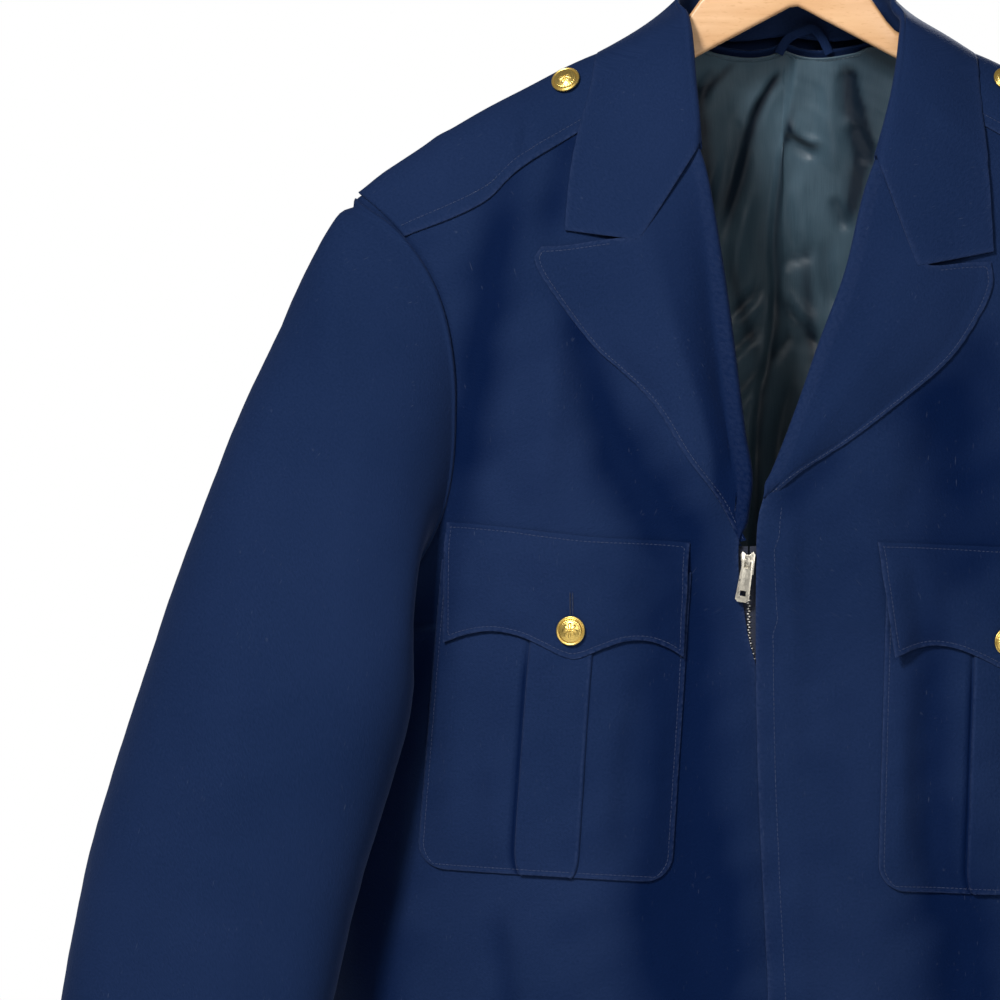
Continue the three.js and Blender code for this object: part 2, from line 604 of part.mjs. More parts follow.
const SLEEVE_ROWS = [0, 0.04, 0.09, 0.16, 0.23, 0.3, ...steps(HEAD_SHARE, 1, 8)];
const SLEEVE_CALM = 0.12;     // share of the rows at the seam that stays free of folds
function sleeve(sign) {
  const loop = armholeLoop(sign);
  const surface = sleeveSurface(sign, loop);
  const form = SLEEVE_ROWS.map((r) => loop.map((_, k) => surface(k, r)));
  const last = SLEEVE_ROWS.length - 1;
  const outer = [];
  const inner = [];
  form.forEach((row, i) => {
    const points = row.map((point, k) => {
      const ahead = row[(k + 1) % SLEEVE_TURNS];
      const behind = row[(k + SLEEVE_TURNS - 1) % SLEEVE_TURNS];
      const across = ahead.clone().sub(behind);
      const down = form[Math.min(i + 1, last)][k].clone().sub(form[Math.max(i - 1, 0)][k]);
      const normal = across.cross(down).normalize().multiplyScalar(-sign);
      const { normal: body, away, turn } = loop[k];
      const rise = sleeveFoldRise(turn, point.z) * smooth(SLEEVE_ROWS[i] / SLEEVE_CALM);
      const top = point.clone().addScaledVector(normal, rise);
      if (i > 0) return { top, under: top.clone().addScaledVector(normal, -CLOTH) };
      // At the seam the wall turns in beside the body's edge.
      const agree = (1 + clamp(body.dot(normal), -1, 1)) / 2;
      const inward = body.clone().multiplyScalar(-agree).addScaledVector(away, 1 - agree).normalize();
      return { top, under: top.clone().addScaledVector(inward, CLOTH) };
    });
    outer.push(points.map((point) => point.top));
    inner.push(points.map((point) => point.under));
  });
  return wall(outer, inner, true);
}

// ---- lapels
// The leaf wraps the front's edge: how far past it, and its outer and inner heights.
const LAPEL_WRAP = [
  { past: -9, outer: -4.5, inner: -3.2 }, { past: -3, outer: -4.5, inner: -3.2 },
  { past: 1.6, outer: -4.0, inner: -2.9 }, { past: 3.0, outer: -1.0, inner: -1.0 },
  { past: 1.8, outer: 1.7, inner: 0.7 },
];
const WRAP_INSIDE = 1.4;      // the wrap's inner face passes the front's edge by less
const LAPEL_PUFF = 2.6;
const LAPEL_CLIMB_START = 0.35; // the gorge rises towards the neck from this far up

// Place of the front's edge between its rows, where it runs straight.
function straightEdge(sign, z) {
  const surface = frontSurface(sign);
  const points = BODY_ROWS.map((r) => surface(0, r));
  const i = clamp(points.findIndex((point) => point.z > z), 1, points.length - 1);
  const a = points[i - 1];
  const b = points[i];
  return mix(a.x, b.x, (z - a.z) / (b.z - a.z));
}

function lapel(sign) {
  const table = sign < 0 ? LAPEL_RIGHT : LAPEL_LEFT;
  const edge = (z) => straightEdge(sign, z);
  const last = table[table.length - 1].z;
  const rows = steps(0, 1, 12);
  const columns = [0.03, 0.1, 0.2, GORGE.share, 0.5, 0.65, 0.8, 0.92, 1];
  const outer = [];
  const inner = [];
  for (const r of rows) {
    const base = mix(table[0].z, last, r);
    const climb = GORGE.climb * smooth((r - LAPEL_CLIMB_START) / (1 - LAPEL_CLIMB_START));
    const rollZ = base + climb;
    const rollX = edge(rollZ);
    const free = along(table, 'z', 'free', base);
    const width = Math.abs(free - rollX);
    const outerRow = [];
    const innerRow = [];
    for (const wrap of LAPEL_WRAP) {
      const past = Math.min(wrap.past, width);
      const inPast = wrap.past > 0 ? Math.max(past - WRAP_INSIDE, 0.6) : past;
      outerRow.push(onFront(rollX - sign * past, rollZ, wrap.outer));
      innerRow.push(onFront(rollX - sign * inPast, rollZ, wrap.inner));
    }
    for (const c of columns) {
      const x = mix(rollX, free, c);
      const z = base + climb * Math.max(0, 1 - c / GORGE.share);
      const puff = LAPEL_PUFF * Math.sin(Math.PI * Math.min(c * 1.15, 1)) * smooth(r * 3);
      outerRow.push(onFront(x, z, REST + LEAF + puff));
      innerRow.push(onFront(x, z, REST + puff));
    }
    outer.push(outerRow);
    inner.push(innerRow);
  }
  return wall(outer, inner);
}

// ---- collar
function collarPoint(sign, at, b) {
  const table = [...(sign < 0 ? COLLAR_RIGHT : COLLAR_LEFT), ...COLLAR_NAPE];
  const read = (column) => along(table, 'at', column, at);
  const fall = read('fall');
  const face = fall > 0 ? FRONT : BACK;
  const over = (at - COLLAR_RIDGE.at) / COLLAR_RIDGE.reach;
  const lift = COLLAR_LIFT + COLLAR_RIDGE.lift * Math.exp(-over * over);
  const edgeX = sign * read('edgeX');
  const edge = onBody(edgeX, ridgeZ(edgeX) - Math.abs(fall), face, lift);
  const fold = vec(sign * read('foldX'), read('foldY'), read('foldZ'));
  const point = fold.clone().lerp(edge, b);
  const hat = b < GORGE.place ? b / GORGE.place : (1 - b) / (1 - GORGE.place);
  point.z -= GORGE.drop * hat * Math.max(0, 1 - at / GORGE.reach);
  const puff = COLLAR_PUFF * Math.sin(Math.PI * Math.sqrt(b));
  const under = onBody(point.x, point.z, face, lift + puff).y;
  const chord = point.y + face * puff;
  point.y = face < 0 ? Math.min(chord, under) : Math.max(chord, under);
  return point;
}

function collarSurface(c, r) {
  const sign = c < 0.5 ? -1 : 1;
  return collarPoint(sign, 1 - Math.abs(c - 0.5) * 2, r);
}

function collarFall() {
  const columns = steps(0, 1, 32);
  return shell(collarSurface, columns, [0, 0.1, 0.25, GORGE.place, 0.65, 0.85, 1], -1, 0, LEAF);
}

function standSurface(c, r) {
  const sign = c < 0.5 ? -1 : 1;
  const at = mix(1, STAND[0].at, Math.abs(c - 0.5) * 2);
  const read = (column) => along(STAND, 'at', column, at);
  const foot = vec(sign * read('x'), read('y'), read('z'));
  const fold = collarPoint(sign, at, 0);
  const middle = vec(0, 0, fold.z);
  const top = fold.clone().lerp(middle, 0.058).add(vec(0, 0, -2.2));
  return foot.lerp(top, r);
}

function collarStand() {
  return shell(standSurface, steps(0, 1, 22), [0, 0.5, 1], 1, -LEAF, 0);
}

// ---- shoulder straps
function strap(sign) {
  const surface = (c, r) => {
    const q = 2 * c - 1;
    const cross = Math.abs(q) ** 1.8;
    const start = SHOULDER_X - 1.2 - (q < 0 ? 25 : 7) * cross;
    const x = mix(start, STRAP[0].x + STRAP_TIP * q * q, r);
    const drop = along(STRAP, 'x', q < 0 ? 'front' : 'back', x) * cross;
    const z = ridgeZ(x) - drop;
    return vec(sign * x, bodyY(sign * x, z, q < 0 ? FRONT : BACK), z);
  };
  const columns = [0, 0.08, 0.17, 0.27, 0.36, 0.44, 0.5, 0.58, 0.7, 0.85, 1];
  return shell(surface, columns, steps(0, 1, 9), sign, REST, REST + LEAF);
}

// ---- pockets
function pocketPlace(pocket, across, down) {
  return {
    x: pocket.x + across + pocket.lean * down,
    z: pocket.z - down + pocket.slope * across,
  };
}

// Patch with a box pleat: the pleat's strip stands proud between two short steps.
function pocketPouch(pocket) {
  const side = [-1, -0.86, -0.7, -0.5];
  const pleat = [-PLEAT_HALF - 0.6, -PLEAT_HALF, 0, PLEAT_HALF, PLEAT_HALF + 0.6];
  const left = side.map((share) => share * POCKET_HALF);
  const columns = [...left, ...pleat, ...left.map((x) => -x).reverse()];
  const rows = [0, 0.16, 0.32, 0.48, 0.64, 0.8, 0.92, 0.965, 1];
  const place = (across, r) => {
    const down = mix(POCKET_TOP, pocket.length, r);
    const toEnd = Math.max(0, POCKET_CORNER - (pocket.length - down));
    const inset = POCKET_CORNER - Math.sqrt(POCKET_CORNER ** 2 - toEnd ** 2);
    const x = across * (1 - inset / POCKET_HALF);
    const rise = Math.abs(across) <= PLEAT_HALF ? PLEAT_RISE : 0;
    return { ...pocketPlace(pocket, x, down), rise };
  };
  return frontLeaf(place, columns, rows, REST, REST + LEAF);
}

const FLAP_LOW = REST * 2 + LEAF + PLEAT_RISE;
function flapPlace(pocket, c, r) {
  const q = 2 * c - 1;
  const down = along(FLAP_EDGE, 'at', 'drop', Math.abs(q)) * r;
  const corner = smooth((-q - 0.72) / 0.28) * smooth(r / 0.5);
  const rise = pocket.lifted * corner - (FLAP_LOW - REST) * (1 - smooth(down / POCKET_TOP));
  return { ...pocketPlace(pocket, q * FLAP_HALF, down), rise };
}

function pocketFlap(pocket) {
  const half = [0, 0.08, 0.18, 0.28, 0.36, 0.43, 0.48];
  const columns = [...half, 0.5, ...half.map((c) => 1 - c).reverse()];
  const place = (c, r) => flapPlace(pocket, c, r);
  return frontLeaf(place, columns, [0, 0.1, 0.22, 0.4, 0.6, 0.8, 1], FLAP_LOW, FLAP_LOW + LEAF);
}

// ---- buttons: a domed cap with a rolled rim on a short neck
function buttonGeometry() {
  const profile = [
    [0, 0], [2.2, 0], [2.2, 0.9], [BUTTON_RADIUS - 0.8, 0.9], [BUTTON_RADIUS, 1.5],
    [BUTTON_RADIUS, 2.2], [BUTTON_RADIUS - 0.8, 2.7], [BUTTON_RADIUS - 1.6, 2.7],
    [BUTTON_RADIUS * 0.62, 3.7], [BUTTON_RADIUS * 0.33, BUTTON_HEIGHT - 0.3], [0, BUTTON_HEIGHT],
  ];
  const points = profile.map(([x, y]) => new THREE.Vector2(x, y));
  return welded(new THREE.LatheGeometry(points, 16));
}

// Seats a button on a point, its top turned along the normal.
function seatButton(name, point, normal) {
  const mesh = add(name, buttonGeometry(), BRASS);
  mesh.position.copy(point).addScaledVector(normal, REST);
  mesh.quaternion.setFromUnitVectors(vec(0, 1, 0), normal);
}

// ---- zip
const ZIP_LIFT = 4;           // the tapes end this far above the hem
function zipTape(sign) {
  const place = (c, r) => {
    const z = mix(HEM_Z + ZIP_LIFT, ZIP.top, r);
    return { x: along(ZIP_LINE, 'z', 'x', z) + sign * (ZIP.chain + ZIP.tape * c), z };
  };
  const high = -CLOTH - ZIP.behind;
  return frontLeaf(place, [0, 0.5, 1], steps(0, 1, 16), high - ZIP.thickness, high);
}

// Frame of the slider: its face looks along the front's normal there.
const zipNormal = onFront(ZIP.x, SLIDER.z, 1).sub(onFront(ZIP.x, SLIDER.z, 0)).normalize();

function prism(points, depth, holes = []) {
  const shape = new THREE.Shape(points.map(([x, y]) => new THREE.Vector2(x, y)));
  for (const hole of holes) {
    shape.holes.push(new THREE.Path(hole.map(([x, y]) => new THREE.Vector2(x, y))));
  }
  return new THREE.ExtrudeGeometry(shape, { depth, bevelEnabled: false });
}

// ---- slider, its staple and the pull tab
function slider() {
  const { half, length, taper, back: low, face } = SLIDER;
  const outline = [
    [-half, length / 2 - 1.5], [-half + taper, length / 2], [-0.8, length / 2 - 1.6],
    [0.8, length / 2 - 1.6], [half - taper, length / 2], [half, length / 2 - 1.5],
    [half - taper, -length / 2], [-half + taper, -length / 2],
  ];
  const body = prism(outline, face - low);
  body.translate(0, 0, low);
  const { inner, outer, clear, height } = STAPLE;
  const arch = [
    [-outer, -0.4], [-inner, -0.4], [-inner, clear], [inner, clear], [inner, -0.4],
    [outer, -0.4], [outer, height - 0.5], [outer - 0.5, height], [-outer + 0.5, height],
    [-outer, height - 0.5],
  ];
  const staple = prism(arch, STAPLE.half * 2);
  staple.translate(0, 0, -STAPLE.half);
  staple.rotateY(-Math.PI / 2);
  staple.rotateX(Math.PI / 2);
  staple.translate(0, TAB_AXIS.z - SLIDER.z, face);
  return joined([body, staple]);
}

function pullTab() {
  const { half, length, thickness, bar, window, slot } = TAB;
  const end = -length + 1.4;
  const outline = [
    [-half + 1.2, bar], [half - 1.2, bar], [half - 0.6, -window - 1.3], [half, end],
    [half - 1.4, -length], [-half + 1.4, -length], [-half, end], [-half + 0.6, -window - 1.3],
  ];
  const grip = [[-1.6, 3.4], [1.6, 3.4], [1.6, 6.2], [-1.6, 6.2]].map(([x, y]) => [x, y - length]);
  const gap = [[-slot, -window], [slot, -window], [slot, -bar], [-slot, -bar]];
  const tab = prism(outline, thickness, [gap, grip]);
  tab.translate(0, 0, -thickness / 2);
  return welded(tab);
}

// Adds solids together; three.js only lays meshes side by side.
function joined(parts) {
  const solids = parts.map((part) => {
    const clean = welded(part);
    return new wasm.Manifold(new wasm.Mesh({
      numProp: 3,
      vertProperties: clean.attributes.position.array,
      triVerts: new Uint32Array(clean.index.array),
    }));
  });
  const mesh = solids.reduce((all, solid) => all.add(solid)).getMesh();
  const geometry = new THREE.BufferGeometry();
  geometry.setAttribute('position', new THREE.Float32BufferAttribute(mesh.vertProperties, 3));
  geometry.setIndex([...mesh.triVerts]);
  return facingOut(geometry);
}

// Places zip metalware built in its own plane: x across, y up, z out of the cloth.
function placeOnZip(mesh, z, lean) {
  mesh.position.copy(onFront(ZIP.x, z, 0));
  const out = zipNormal.clone();
  const across = vec(Math.cos(lean), 0, -Math.sin(lean));
  const up = out.clone().cross(across).normalize();
  across.crossVectors(up, out).normalize();
  mesh.quaternion.setFromRotationMatrix(new THREE.Matrix4().makeBasis(across, up, out));
}

// ---- lining of the back, with its centre pleat
const LINING_GAP = 3.2;
const PLEAT = { width: 9, rise: 3 };
function liningSurface(c, r) {
  const place = mix(0.05, 0.95, c);
  const neck = smooth(1 - Math.abs(c - 0.5) * 5.5);
  return backSurface(place, mix(0.02, mix(0.9, 0.992, neck), r));
}

function lining() {
  const columns = [...steps(0, 0.45, 5), 0.478, 0.5, 0.522, ...steps(0.55, 1, 5)];
  const rows = steps(0, 1, 12);
  const lifted = (lift) => rows.map((r) => columns.map((c) => {
    const point = liningSurface(c, r);
    const pleat = PLEAT.rise * Math.exp(-((point.x / PLEAT.width) ** 2));
    return point.addScaledVector(normalOf(liningSurface, c, r, 1), lift - pleat);
  }));
  return wall(lifted(-CLOTH - LINING_GAP), lifted(-CLOTH - LINING_GAP - LINING));
}

// ---- hanging loop: a narrow tape bowed across the nape
function hangingLoop() {
  const { left, right, z, drop, y, width, thickness } = LOOP;
  const path = new THREE.CatmullRomCurve3([
    vec(left, y, z), vec(left + 5, y - 1, z + drop * 0.6), vec(left + 13, y - 2, z + drop),
    vec(right - 11, y - 2, z + drop), vec(right - 4, y - 1.5, z + drop * 0.6), vec(right, y, z),
  ]);
  const rows = steps(0, 1, 12);
  const sheet = (lift) => rows.map((t) => {
    const at = path.getPoint(t);
    const way = path.getTangent(t);
    const across = vec(-way.z, 0, way.x).normalize();
    return [-0.5, 0.5].map((s) => at.clone().addScaledVector(across, s * width).add(vec(0, lift, 0)));
  });
  return wall(sheet(0), sheet(thickness));
}

// ---- hanger
function hangerTop(x) {
  const out = Math.abs(x);
  const arm = ridgeZ(x) - HANGER_CLEAR;
  const neck = HANGER.crown - HANGER_NECK.fall * out;
  return mix(neck, arm, smooth((out - HANGER_NECK.from) / (HANGER_NECK.to - HANGER_NECK.from)));
}

function hanger() {
  const { half, thickness, bevel, apex, fall } = HANGER;
  const inset = half - bevel;
  const top = steps(-inset, inset, 36).map((x) => [x, hangerTop(x) - bevel]);
  const tip = inset + 6;
  const low = (x) => apex - fall * Math.abs(x) + bevel;
  const outline = [
    ...top, [tip, hangerTop(inset) - bevel - 6], [tip, low(tip) + 5], [tip - 6, low(tip - 6)],
    [0, low(0)], [-tip + 6, low(tip - 6)], [-tip, low(tip) + 5], [-tip, hangerTop(inset) - bevel - 6],
  ];
  const shape = new THREE.Shape(outline.map(([x, y]) => new THREE.Vector2(x, y)));
  const depth = thickness - 2 * bevel;
  const bar = new THREE.ExtrudeGeometry(shape, {
    depth, bevelThickness: bevel, bevelSize: bevel, bevelSegments: 2,
  });
  bar.rotateX(Math.PI / 2);
  bar.translate(0, depth / 2, 0);
  return welded(bar);
}

function hook() {
  const { wire, inside, foot, tip } = HOOK;
  const radius = inside + wire;
  const centre = -inside;
  const ring = steps(-60, 215, 14).map((degrees) => {
    const angle = radians(degrees);
    return vec(radius * Math.cos(angle), 0, centre + radius * Math.sin(angle));
  });
  const stem = [vec(0, 0, foot), vec(0, 0, foot + 14), vec(0.6, 0, foot + 26), vec(4, 0, tip - 3)];
  const path = new THREE.CatmullRomCurve3([...stem, ...ring]);
  const section = new THREE.Shape();
  section.absarc(0, 0, wire, 0, Math.PI * 2, false);
  const tube = new THREE.ExtrudeGeometry(section, { steps: 34, extrudePath: path, curveSegments: 4 });
  return welded(tube);
}

// ---------------------------------------------------------------- the jacket
for (const [name, sign] of [['right', RIGHT], ['left', LEFT]]) {
  add(`front_${name}`, front(sign), WOOL);
  add(`sleeve_${name}`, sleeve(sign), WOOL);
  add(`lapel_${name}`, lapel(sign), WOOL);
  add(`epaulette_${name}`, strap(sign), WOOL);
  add(`pocket_${name}`, pocketPouch(POCKETS[name]), WOOL);
  add(`flap_${name}`, pocketFlap(POCKETS[name]), WOOL);
  add(`zip_tape_${name}`, zipTape(sign), TAPE);
}
add('back', back(), WOOL);
add('collar_fall', collarFall(), WOOL);
add('collar_stand', collarStand(), WOOL);
add('lining_back', lining(), SATIN);
add('hanger_loop', hangingLoop(), WOOL);

for (const [name, sign] of [['right', RIGHT], ['left', LEFT]]) {
  const pocket = POCKETS[name];
  const { x, z } = pocketPlace(pocket, pocket.button, FLAP_BUTTON_DROP);
  const top = FLAP_LOW + LEAF;
  const flapPoint = onFront(x, z, top);
  seatButton(`flap_button_${name}`, flapPoint, onFront(x, z, top + 1).sub(flapPoint).normalize());
  const strapX = sign * STRAP_BUTTON.x;
  const strapPoint = onFront(strapX, STRAP_BUTTON.z, REST + LEAF);
  const strapOut = onFront(strapX, STRAP_BUTTON.z, REST + LEAF + 1).sub(strapPoint);
  seatButton(`strap_button_${name}`, strapPoint, strapOut.normalize());
}

placeOnZip(add('zip_slider', slider(), NICKEL), SLIDER.z, 0);
const tab = add('pull_tab', pullTab(), NICKEL);
placeOnZip(tab, TAB_AXIS.z, radians(TAB.lean));
tab.position.addScaledVector(zipNormal, TAB_AXIS.lift);

add('hanger', hanger(), WOOD);
add('hook', hook(), STEEL);

export default group;
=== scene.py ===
"""Looks of a zip-front uniform jacket that hangs on a plain wooden hanger.

Shapes are worked out in millimetres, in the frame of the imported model: +Z up, the front
faces -Y and the wearer's left is +X. The origin is where the hook bears on its rod. Each
cloth piece is a thin shell on the form of its solid, with the finer creases of worn wool.
"""

import logging
import math
from dataclasses import dataclass, field
from enum import Enum
from typing import Callable, Optional, Sequence

import bmesh
import bpy
import numpy as np
from mathutils import Matrix, Vector


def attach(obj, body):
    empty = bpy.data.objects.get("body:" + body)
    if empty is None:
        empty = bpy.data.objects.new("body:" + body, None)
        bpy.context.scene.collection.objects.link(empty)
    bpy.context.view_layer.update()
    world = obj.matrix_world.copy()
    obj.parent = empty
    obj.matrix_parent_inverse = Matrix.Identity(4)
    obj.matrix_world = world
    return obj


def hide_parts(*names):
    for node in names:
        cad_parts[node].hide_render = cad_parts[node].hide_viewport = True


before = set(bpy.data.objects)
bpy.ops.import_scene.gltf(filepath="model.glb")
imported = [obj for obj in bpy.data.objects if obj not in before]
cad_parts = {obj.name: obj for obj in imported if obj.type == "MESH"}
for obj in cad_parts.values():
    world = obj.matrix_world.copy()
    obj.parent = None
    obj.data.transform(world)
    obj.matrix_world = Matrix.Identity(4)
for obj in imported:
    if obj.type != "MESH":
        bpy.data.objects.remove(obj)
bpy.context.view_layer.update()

LOG = logging.getLogger("jacket")
MM = 0.001
SEED = 7
JACKET = "jacket"
TAB_BODY = "pull_tab"
Points = np.ndarray
Piece = bpy.types.Object
Socket = bpy.types.NodeSocket


class Face(Enum):
    """Which face of the hanging body a point lies on."""

    FRONT = -1
    BACK = 1


class Side(Enum):
    """The wearer's two sides, as the sign of x."""

    RIGHT = -1
    LEFT = 1

    @property
    def word(self) -> str:
        """The side's name as it stands in the nodes' names."""
        return self.name.lower()


# --- numbers and tables
def smooth(value: Points) -> Points:
    """Eases a value from 0 to 1 between 0 and 1."""
    t = np.clip(value, 0.0, 1.0)
    return t * t * (3.0 - 2.0 * t)


def bell(offset: Points, width: float) -> Points:
    """Round hump of height 1 whose flanks lie at the given width."""
    return np.exp(-((offset / width) ** 2))


class Table:
    """Short table with named columns; the first column is the rising key."""

    def __init__(self, names: str, *rows: Sequence[float]) -> None:
        """Keeps the rows as columns.

        Args:
            names: The columns' names, parted by spaces.
            rows: One row of numbers for each section.
        """
        columns = np.array(rows, dtype=float).T
        self.key = columns[0]
        self.columns = dict(zip(names.split(), columns))

    def read(self, name: str, place: Points) -> Points:
        """Reads a column smoothly.

        Args:
            name: The column.
            place: Where along the key to read it; held within the table's ends.

        Returns:
            The values, shaped as the places are.
        """
        key, value = self.key, self.columns[name]
        at = np.clip(place, key[0], key[-1])
        last = len(key) - 1
        i = np.clip(np.searchsorted(key[1:], at, side="left"), 0, last - 1)
        before = np.maximum(np.arange(last + 1) - 1, 0)
        after = np.minimum(np.arange(last + 1) + 1, last)
        slope = (value[after] - value[before]) / (key[after] - key[before])
        span = key[i + 1] - key[i]
        t = (at - key[i]) / span
        t2, t3 = t * t, t * t * t
        start = (2 * t3 - 3 * t2 + 1) * value[i] + (t3 - 2 * t2 + t) * slope[i] * span
        return start + (3 * t2 - 2 * t3) * value[i + 1] + (t3 - t2) * slope[i + 1] * span

    def points(self, names: str, place: Points, turn: float = 1.0) -> Points:
        """Reads three columns as points.

        Args:
            names: The columns of x, y and z, parted by spaces.
            place: Where along the key to read them.
            turn: 1 or -1, the side of x.

        Returns:
            The points.
        """
        x, y, z = (self.read(name, place) for name in names.split())
        return stack(turn * x, y, z)


@dataclass(frozen=True)
class Crease:
    """Soft ridge (above zero) or trough along a line between two places."""

    x0: float
    z0: float
    x1: float
    z1: float
    width: float
    rise: float
    bow: float = 0.0

    def height(self, x: Points, z: Points) -> Points:
        """Gives the crease's height at each place.

        Args:
            x: Places across.
            z: Heights.

        Returns:
            The height, zero away from the crease.
        """
        dx, dz = self.x1 - self.x0, self.z1 - self.z0
        length = math.hypot(dx, dz)
        along = ((x - self.x0) * dx + (z - self.z0) * dz) / length**2
        off = ((x - self.x0) * dz - (z - self.z0) * dx) / length
        off = off - self.bow * 4.0 * np.clip(along, 0, 1) * (1 - np.clip(along, 0, 1))
        fade = smooth((along + 0.12) / 0.4) * smooth((1.12 - along) / 0.4)
        return self.rise * bell(off, self.width) * fade


def crease_rows(*rows: Sequence[float]) -> tuple[Crease, ...]:
    """Creases from rows of x0, z0, x1, z1, width, rise and, where it bends, bow."""
    return tuple(Crease(*row) for row in rows)


def crease_sum(creases: Sequence[Crease], x: Points, z: Points) -> Points:
    """Adds the heights of a list of creases.

    Args:
        creases: The creases.
        x: Places across.
        z: Heights.

    Returns:
        The summed height at each place.
    """
    total = np.zeros(np.broadcast(x, z).shape)
    for crease in creases:
        total = total + crease.height(x, z)
    return total


def ripple(x: Points, z: Points, size: float, seed: int) -> Points:
    """Faint uneven waviness between -1 and 1.

    Args:
        x: First coordinate.
        z: Second coordinate.
        size: Typical distance between neighbouring crests.
        seed: Picks the pattern.

    Returns:
        The waviness at each place.
    """
    rng = np.random.default_rng(seed)
    total = np.zeros(np.broadcast(x, z).shape)
    waves = 9
    for _ in range(waves):
        turn = rng.uniform(0, 2 * math.pi)
        pitch = size * rng.uniform(0.7, 1.7)
        phase = rng.uniform(0, 2 * math.pi)
        way = x * math.cos(turn) + z * math.sin(turn)
        total = total + np.sin(2 * math.pi * way / pitch + phase)
    return total / math.sqrt(waves * 2.0)


# --- grids of points
def unit(vectors: Points) -> Points:
    """Scales each vector to length 1."""
    length = np.linalg.norm(vectors, axis=-1, keepdims=True)
    return vectors / np.maximum(length, 1e-9)


def mixed(a: Points, b: Points, t: Points) -> Points:
    """Goes from a to b as t goes from 0 to 1."""
    return a + (b - a) * t


def stack(x: Points, y: Points, z: Points) -> Points:
    """Joins three coordinates into points."""
    return np.stack(np.broadcast_arrays(x, y, z), axis=-1).astype(float)


def grid_normals(points: Points, side: float, closed: bool = False) -> Points:
    """Unit normals of a grid of points.

    Args:
        points: The grid, [row][column][xyz].
        side: 1 or -1, picks the outer side.
        closed: Whether the last column joins the first.

    Returns:
        One normal for each point.
    """
    if closed:
        across = np.roll(points, -1, axis=1) - np.roll(points, 1, axis=1)
    else:
        across = np.gradient(points, axis=1)
    up = np.gradient(points, axis=0)
    return unit(np.cross(across, up)) * side


def spline(controls: Points, t: Points) -> Points:
    """Smooth path through control points, for many paths at once.

    Args:
        controls: [control][path][xyz].
        t: Places along the paths, 0 to 1.

    Returns:
        Points as [place][path][xyz].
    """
    last = len(controls) - 1
    at = np.clip(t, 0, 1) * last
    i = np.clip(at.astype(int), 0, last - 1)
    f = (at - i)[:, None, None]
    p0 = controls[np.maximum(i - 1, 0)]
    p1, p2 = controls[i], controls[i + 1]
    p3 = controls[np.minimum(i + 2, last)]
    m1, m2 = (p2 - p0) / 2, (p3 - p1) / 2
    return ((2 * f**3 - 3 * f**2 + 1) * p1 + (f**3 - 2 * f**2 + f) * m1
            + (3 * f**2 - 2 * f**3) * p2 + (f**3 - f**2) * m2)


def edge_distance(points: Points, edges: str) -> Points:
    """Distance of each grid point from chosen edges of its sheet.

    Args:
        points: The grid.
        edges: Any of "l" first column, "r" last column, "b" first row, "t" last row.

    Returns:
        The distance to the nearest chosen edge.
    """
    picks = {"l": points[:, 0], "r": points[:, -1], "b": points[0], "t": points[-1]}
    lines = np.concatenate([resampled(picks[e], EDGE_STEP) for e in edges])
    flat = points.reshape(-1, 3)
    nearest = np.empty(len(flat))
    block = 2000
    for start in range(0, len(flat), block):
        part = flat[start:start + block, None] - lines[None]
        nearest[start:start + block] = np.sqrt((part**2).sum(-1).min(1))
    return nearest.reshape(points.shape[:2])


def resampled(line: Points, step: float) -> Points:
    """Spaces the points of a line evenly.

    Args:
        line: Points along it.
        step: Wanted spacing.

    Returns:
        The new points.
    """
    length = np.concatenate([[0], np.cumsum(np.linalg.norm(np.diff(line, axis=0), axis=1))])
    count = max(int(length[-1] / step), 2)
    at = np.linspace(0, length[-1], count + 1)
    return np.stack([np.interp(at, length, line[:, k]) for k in range(3)], axis=1)


# Offsets of the grid lines beside a turned edge, and the one that carries the stitches.
EDGE_LINES = (0.0, 0.12, 0.4, 0.9, 1.6, 2.2, 2.7, 3.2, 4.0)
STITCH_LINE = EDGE_LINES.index(2.7)
EDGE_STEP = 1.2


def edged(width: Points, middle: int, low: bool = True, high: bool = True) -> Points:
    """Places of grid lines, closer together beside turned edges.

    Args:
        width: The sheet's width at each of its lines, one number or an array.
        middle: How many lines lie evenly between.
        low: Whether the end at 0 is a turned edge.
        high: Whether the end at 1 is a turned edge.

    Returns:
        Places from 0 to 1 as [line of width][place].
    """
    size = np.atleast_1d(np.asarray(width, dtype=float))[:, None]
    near = np.array(EDGE_LINES)[None] / size
    start = near if low else np.zeros_like(size)
    end = 1 - near[:, ::-1] if high else np.ones_like(size)
    t = np.linspace(0, 1, middle + 2)[None, 1:-1]
    between = start[:, -1:] + (end[:, :1] - start[:, -1:]) * t
    return np.concatenate([start, between, end], axis=1)


def turned_edge(distance: Points, thickness: float) -> Points:
    """Half thickness of a leaf at a distance from its turned edge."""
    share = np.clip(distance / (thickness * 0.75), 0, 1)
    round_off = np.sqrt(np.maximum(1 - (1 - share) ** 2, 0))
    return thickness / 2 * round_off


GROOVE_DEPTH = 0.16
GROOVE_WIDTH = 0.85
EDGE_SWELL = 0.08


def stitch_groove(distance: Points) -> Points:
    """Relief of a topstitched edge: a swollen rim, then the groove under the thread."""
    groove = -GROOVE_DEPTH * bell(distance - EDGE_LINES[STITCH_LINE], GROOVE_WIDTH)
    return groove + EDGE_SWELL * bell(distance - 1.2, 0.9)


def leaf_faces(middle: Points, normals: Points, half: Points, relief: Points) -> tuple[Points, Points]:
    """Outer and inner face of a leaf, the outer one with its relief."""
    return middle + normals * (half + relief)[..., None], middle - normals * half[..., None]


def edge_wear(outer: Points, edges: str, width: float, most: float) -> Points:
    """How rubbed a leaf is beside its turned edges.

    Args:
        outer: Its outer face.
        edges: Its turned edges.
        width: How far in the wear reaches.
        most: Wear at the edge itself.

    Returns:
        The wear at each point.
    """
    return np.exp(-edge_distance(outer, edges) / width) * most


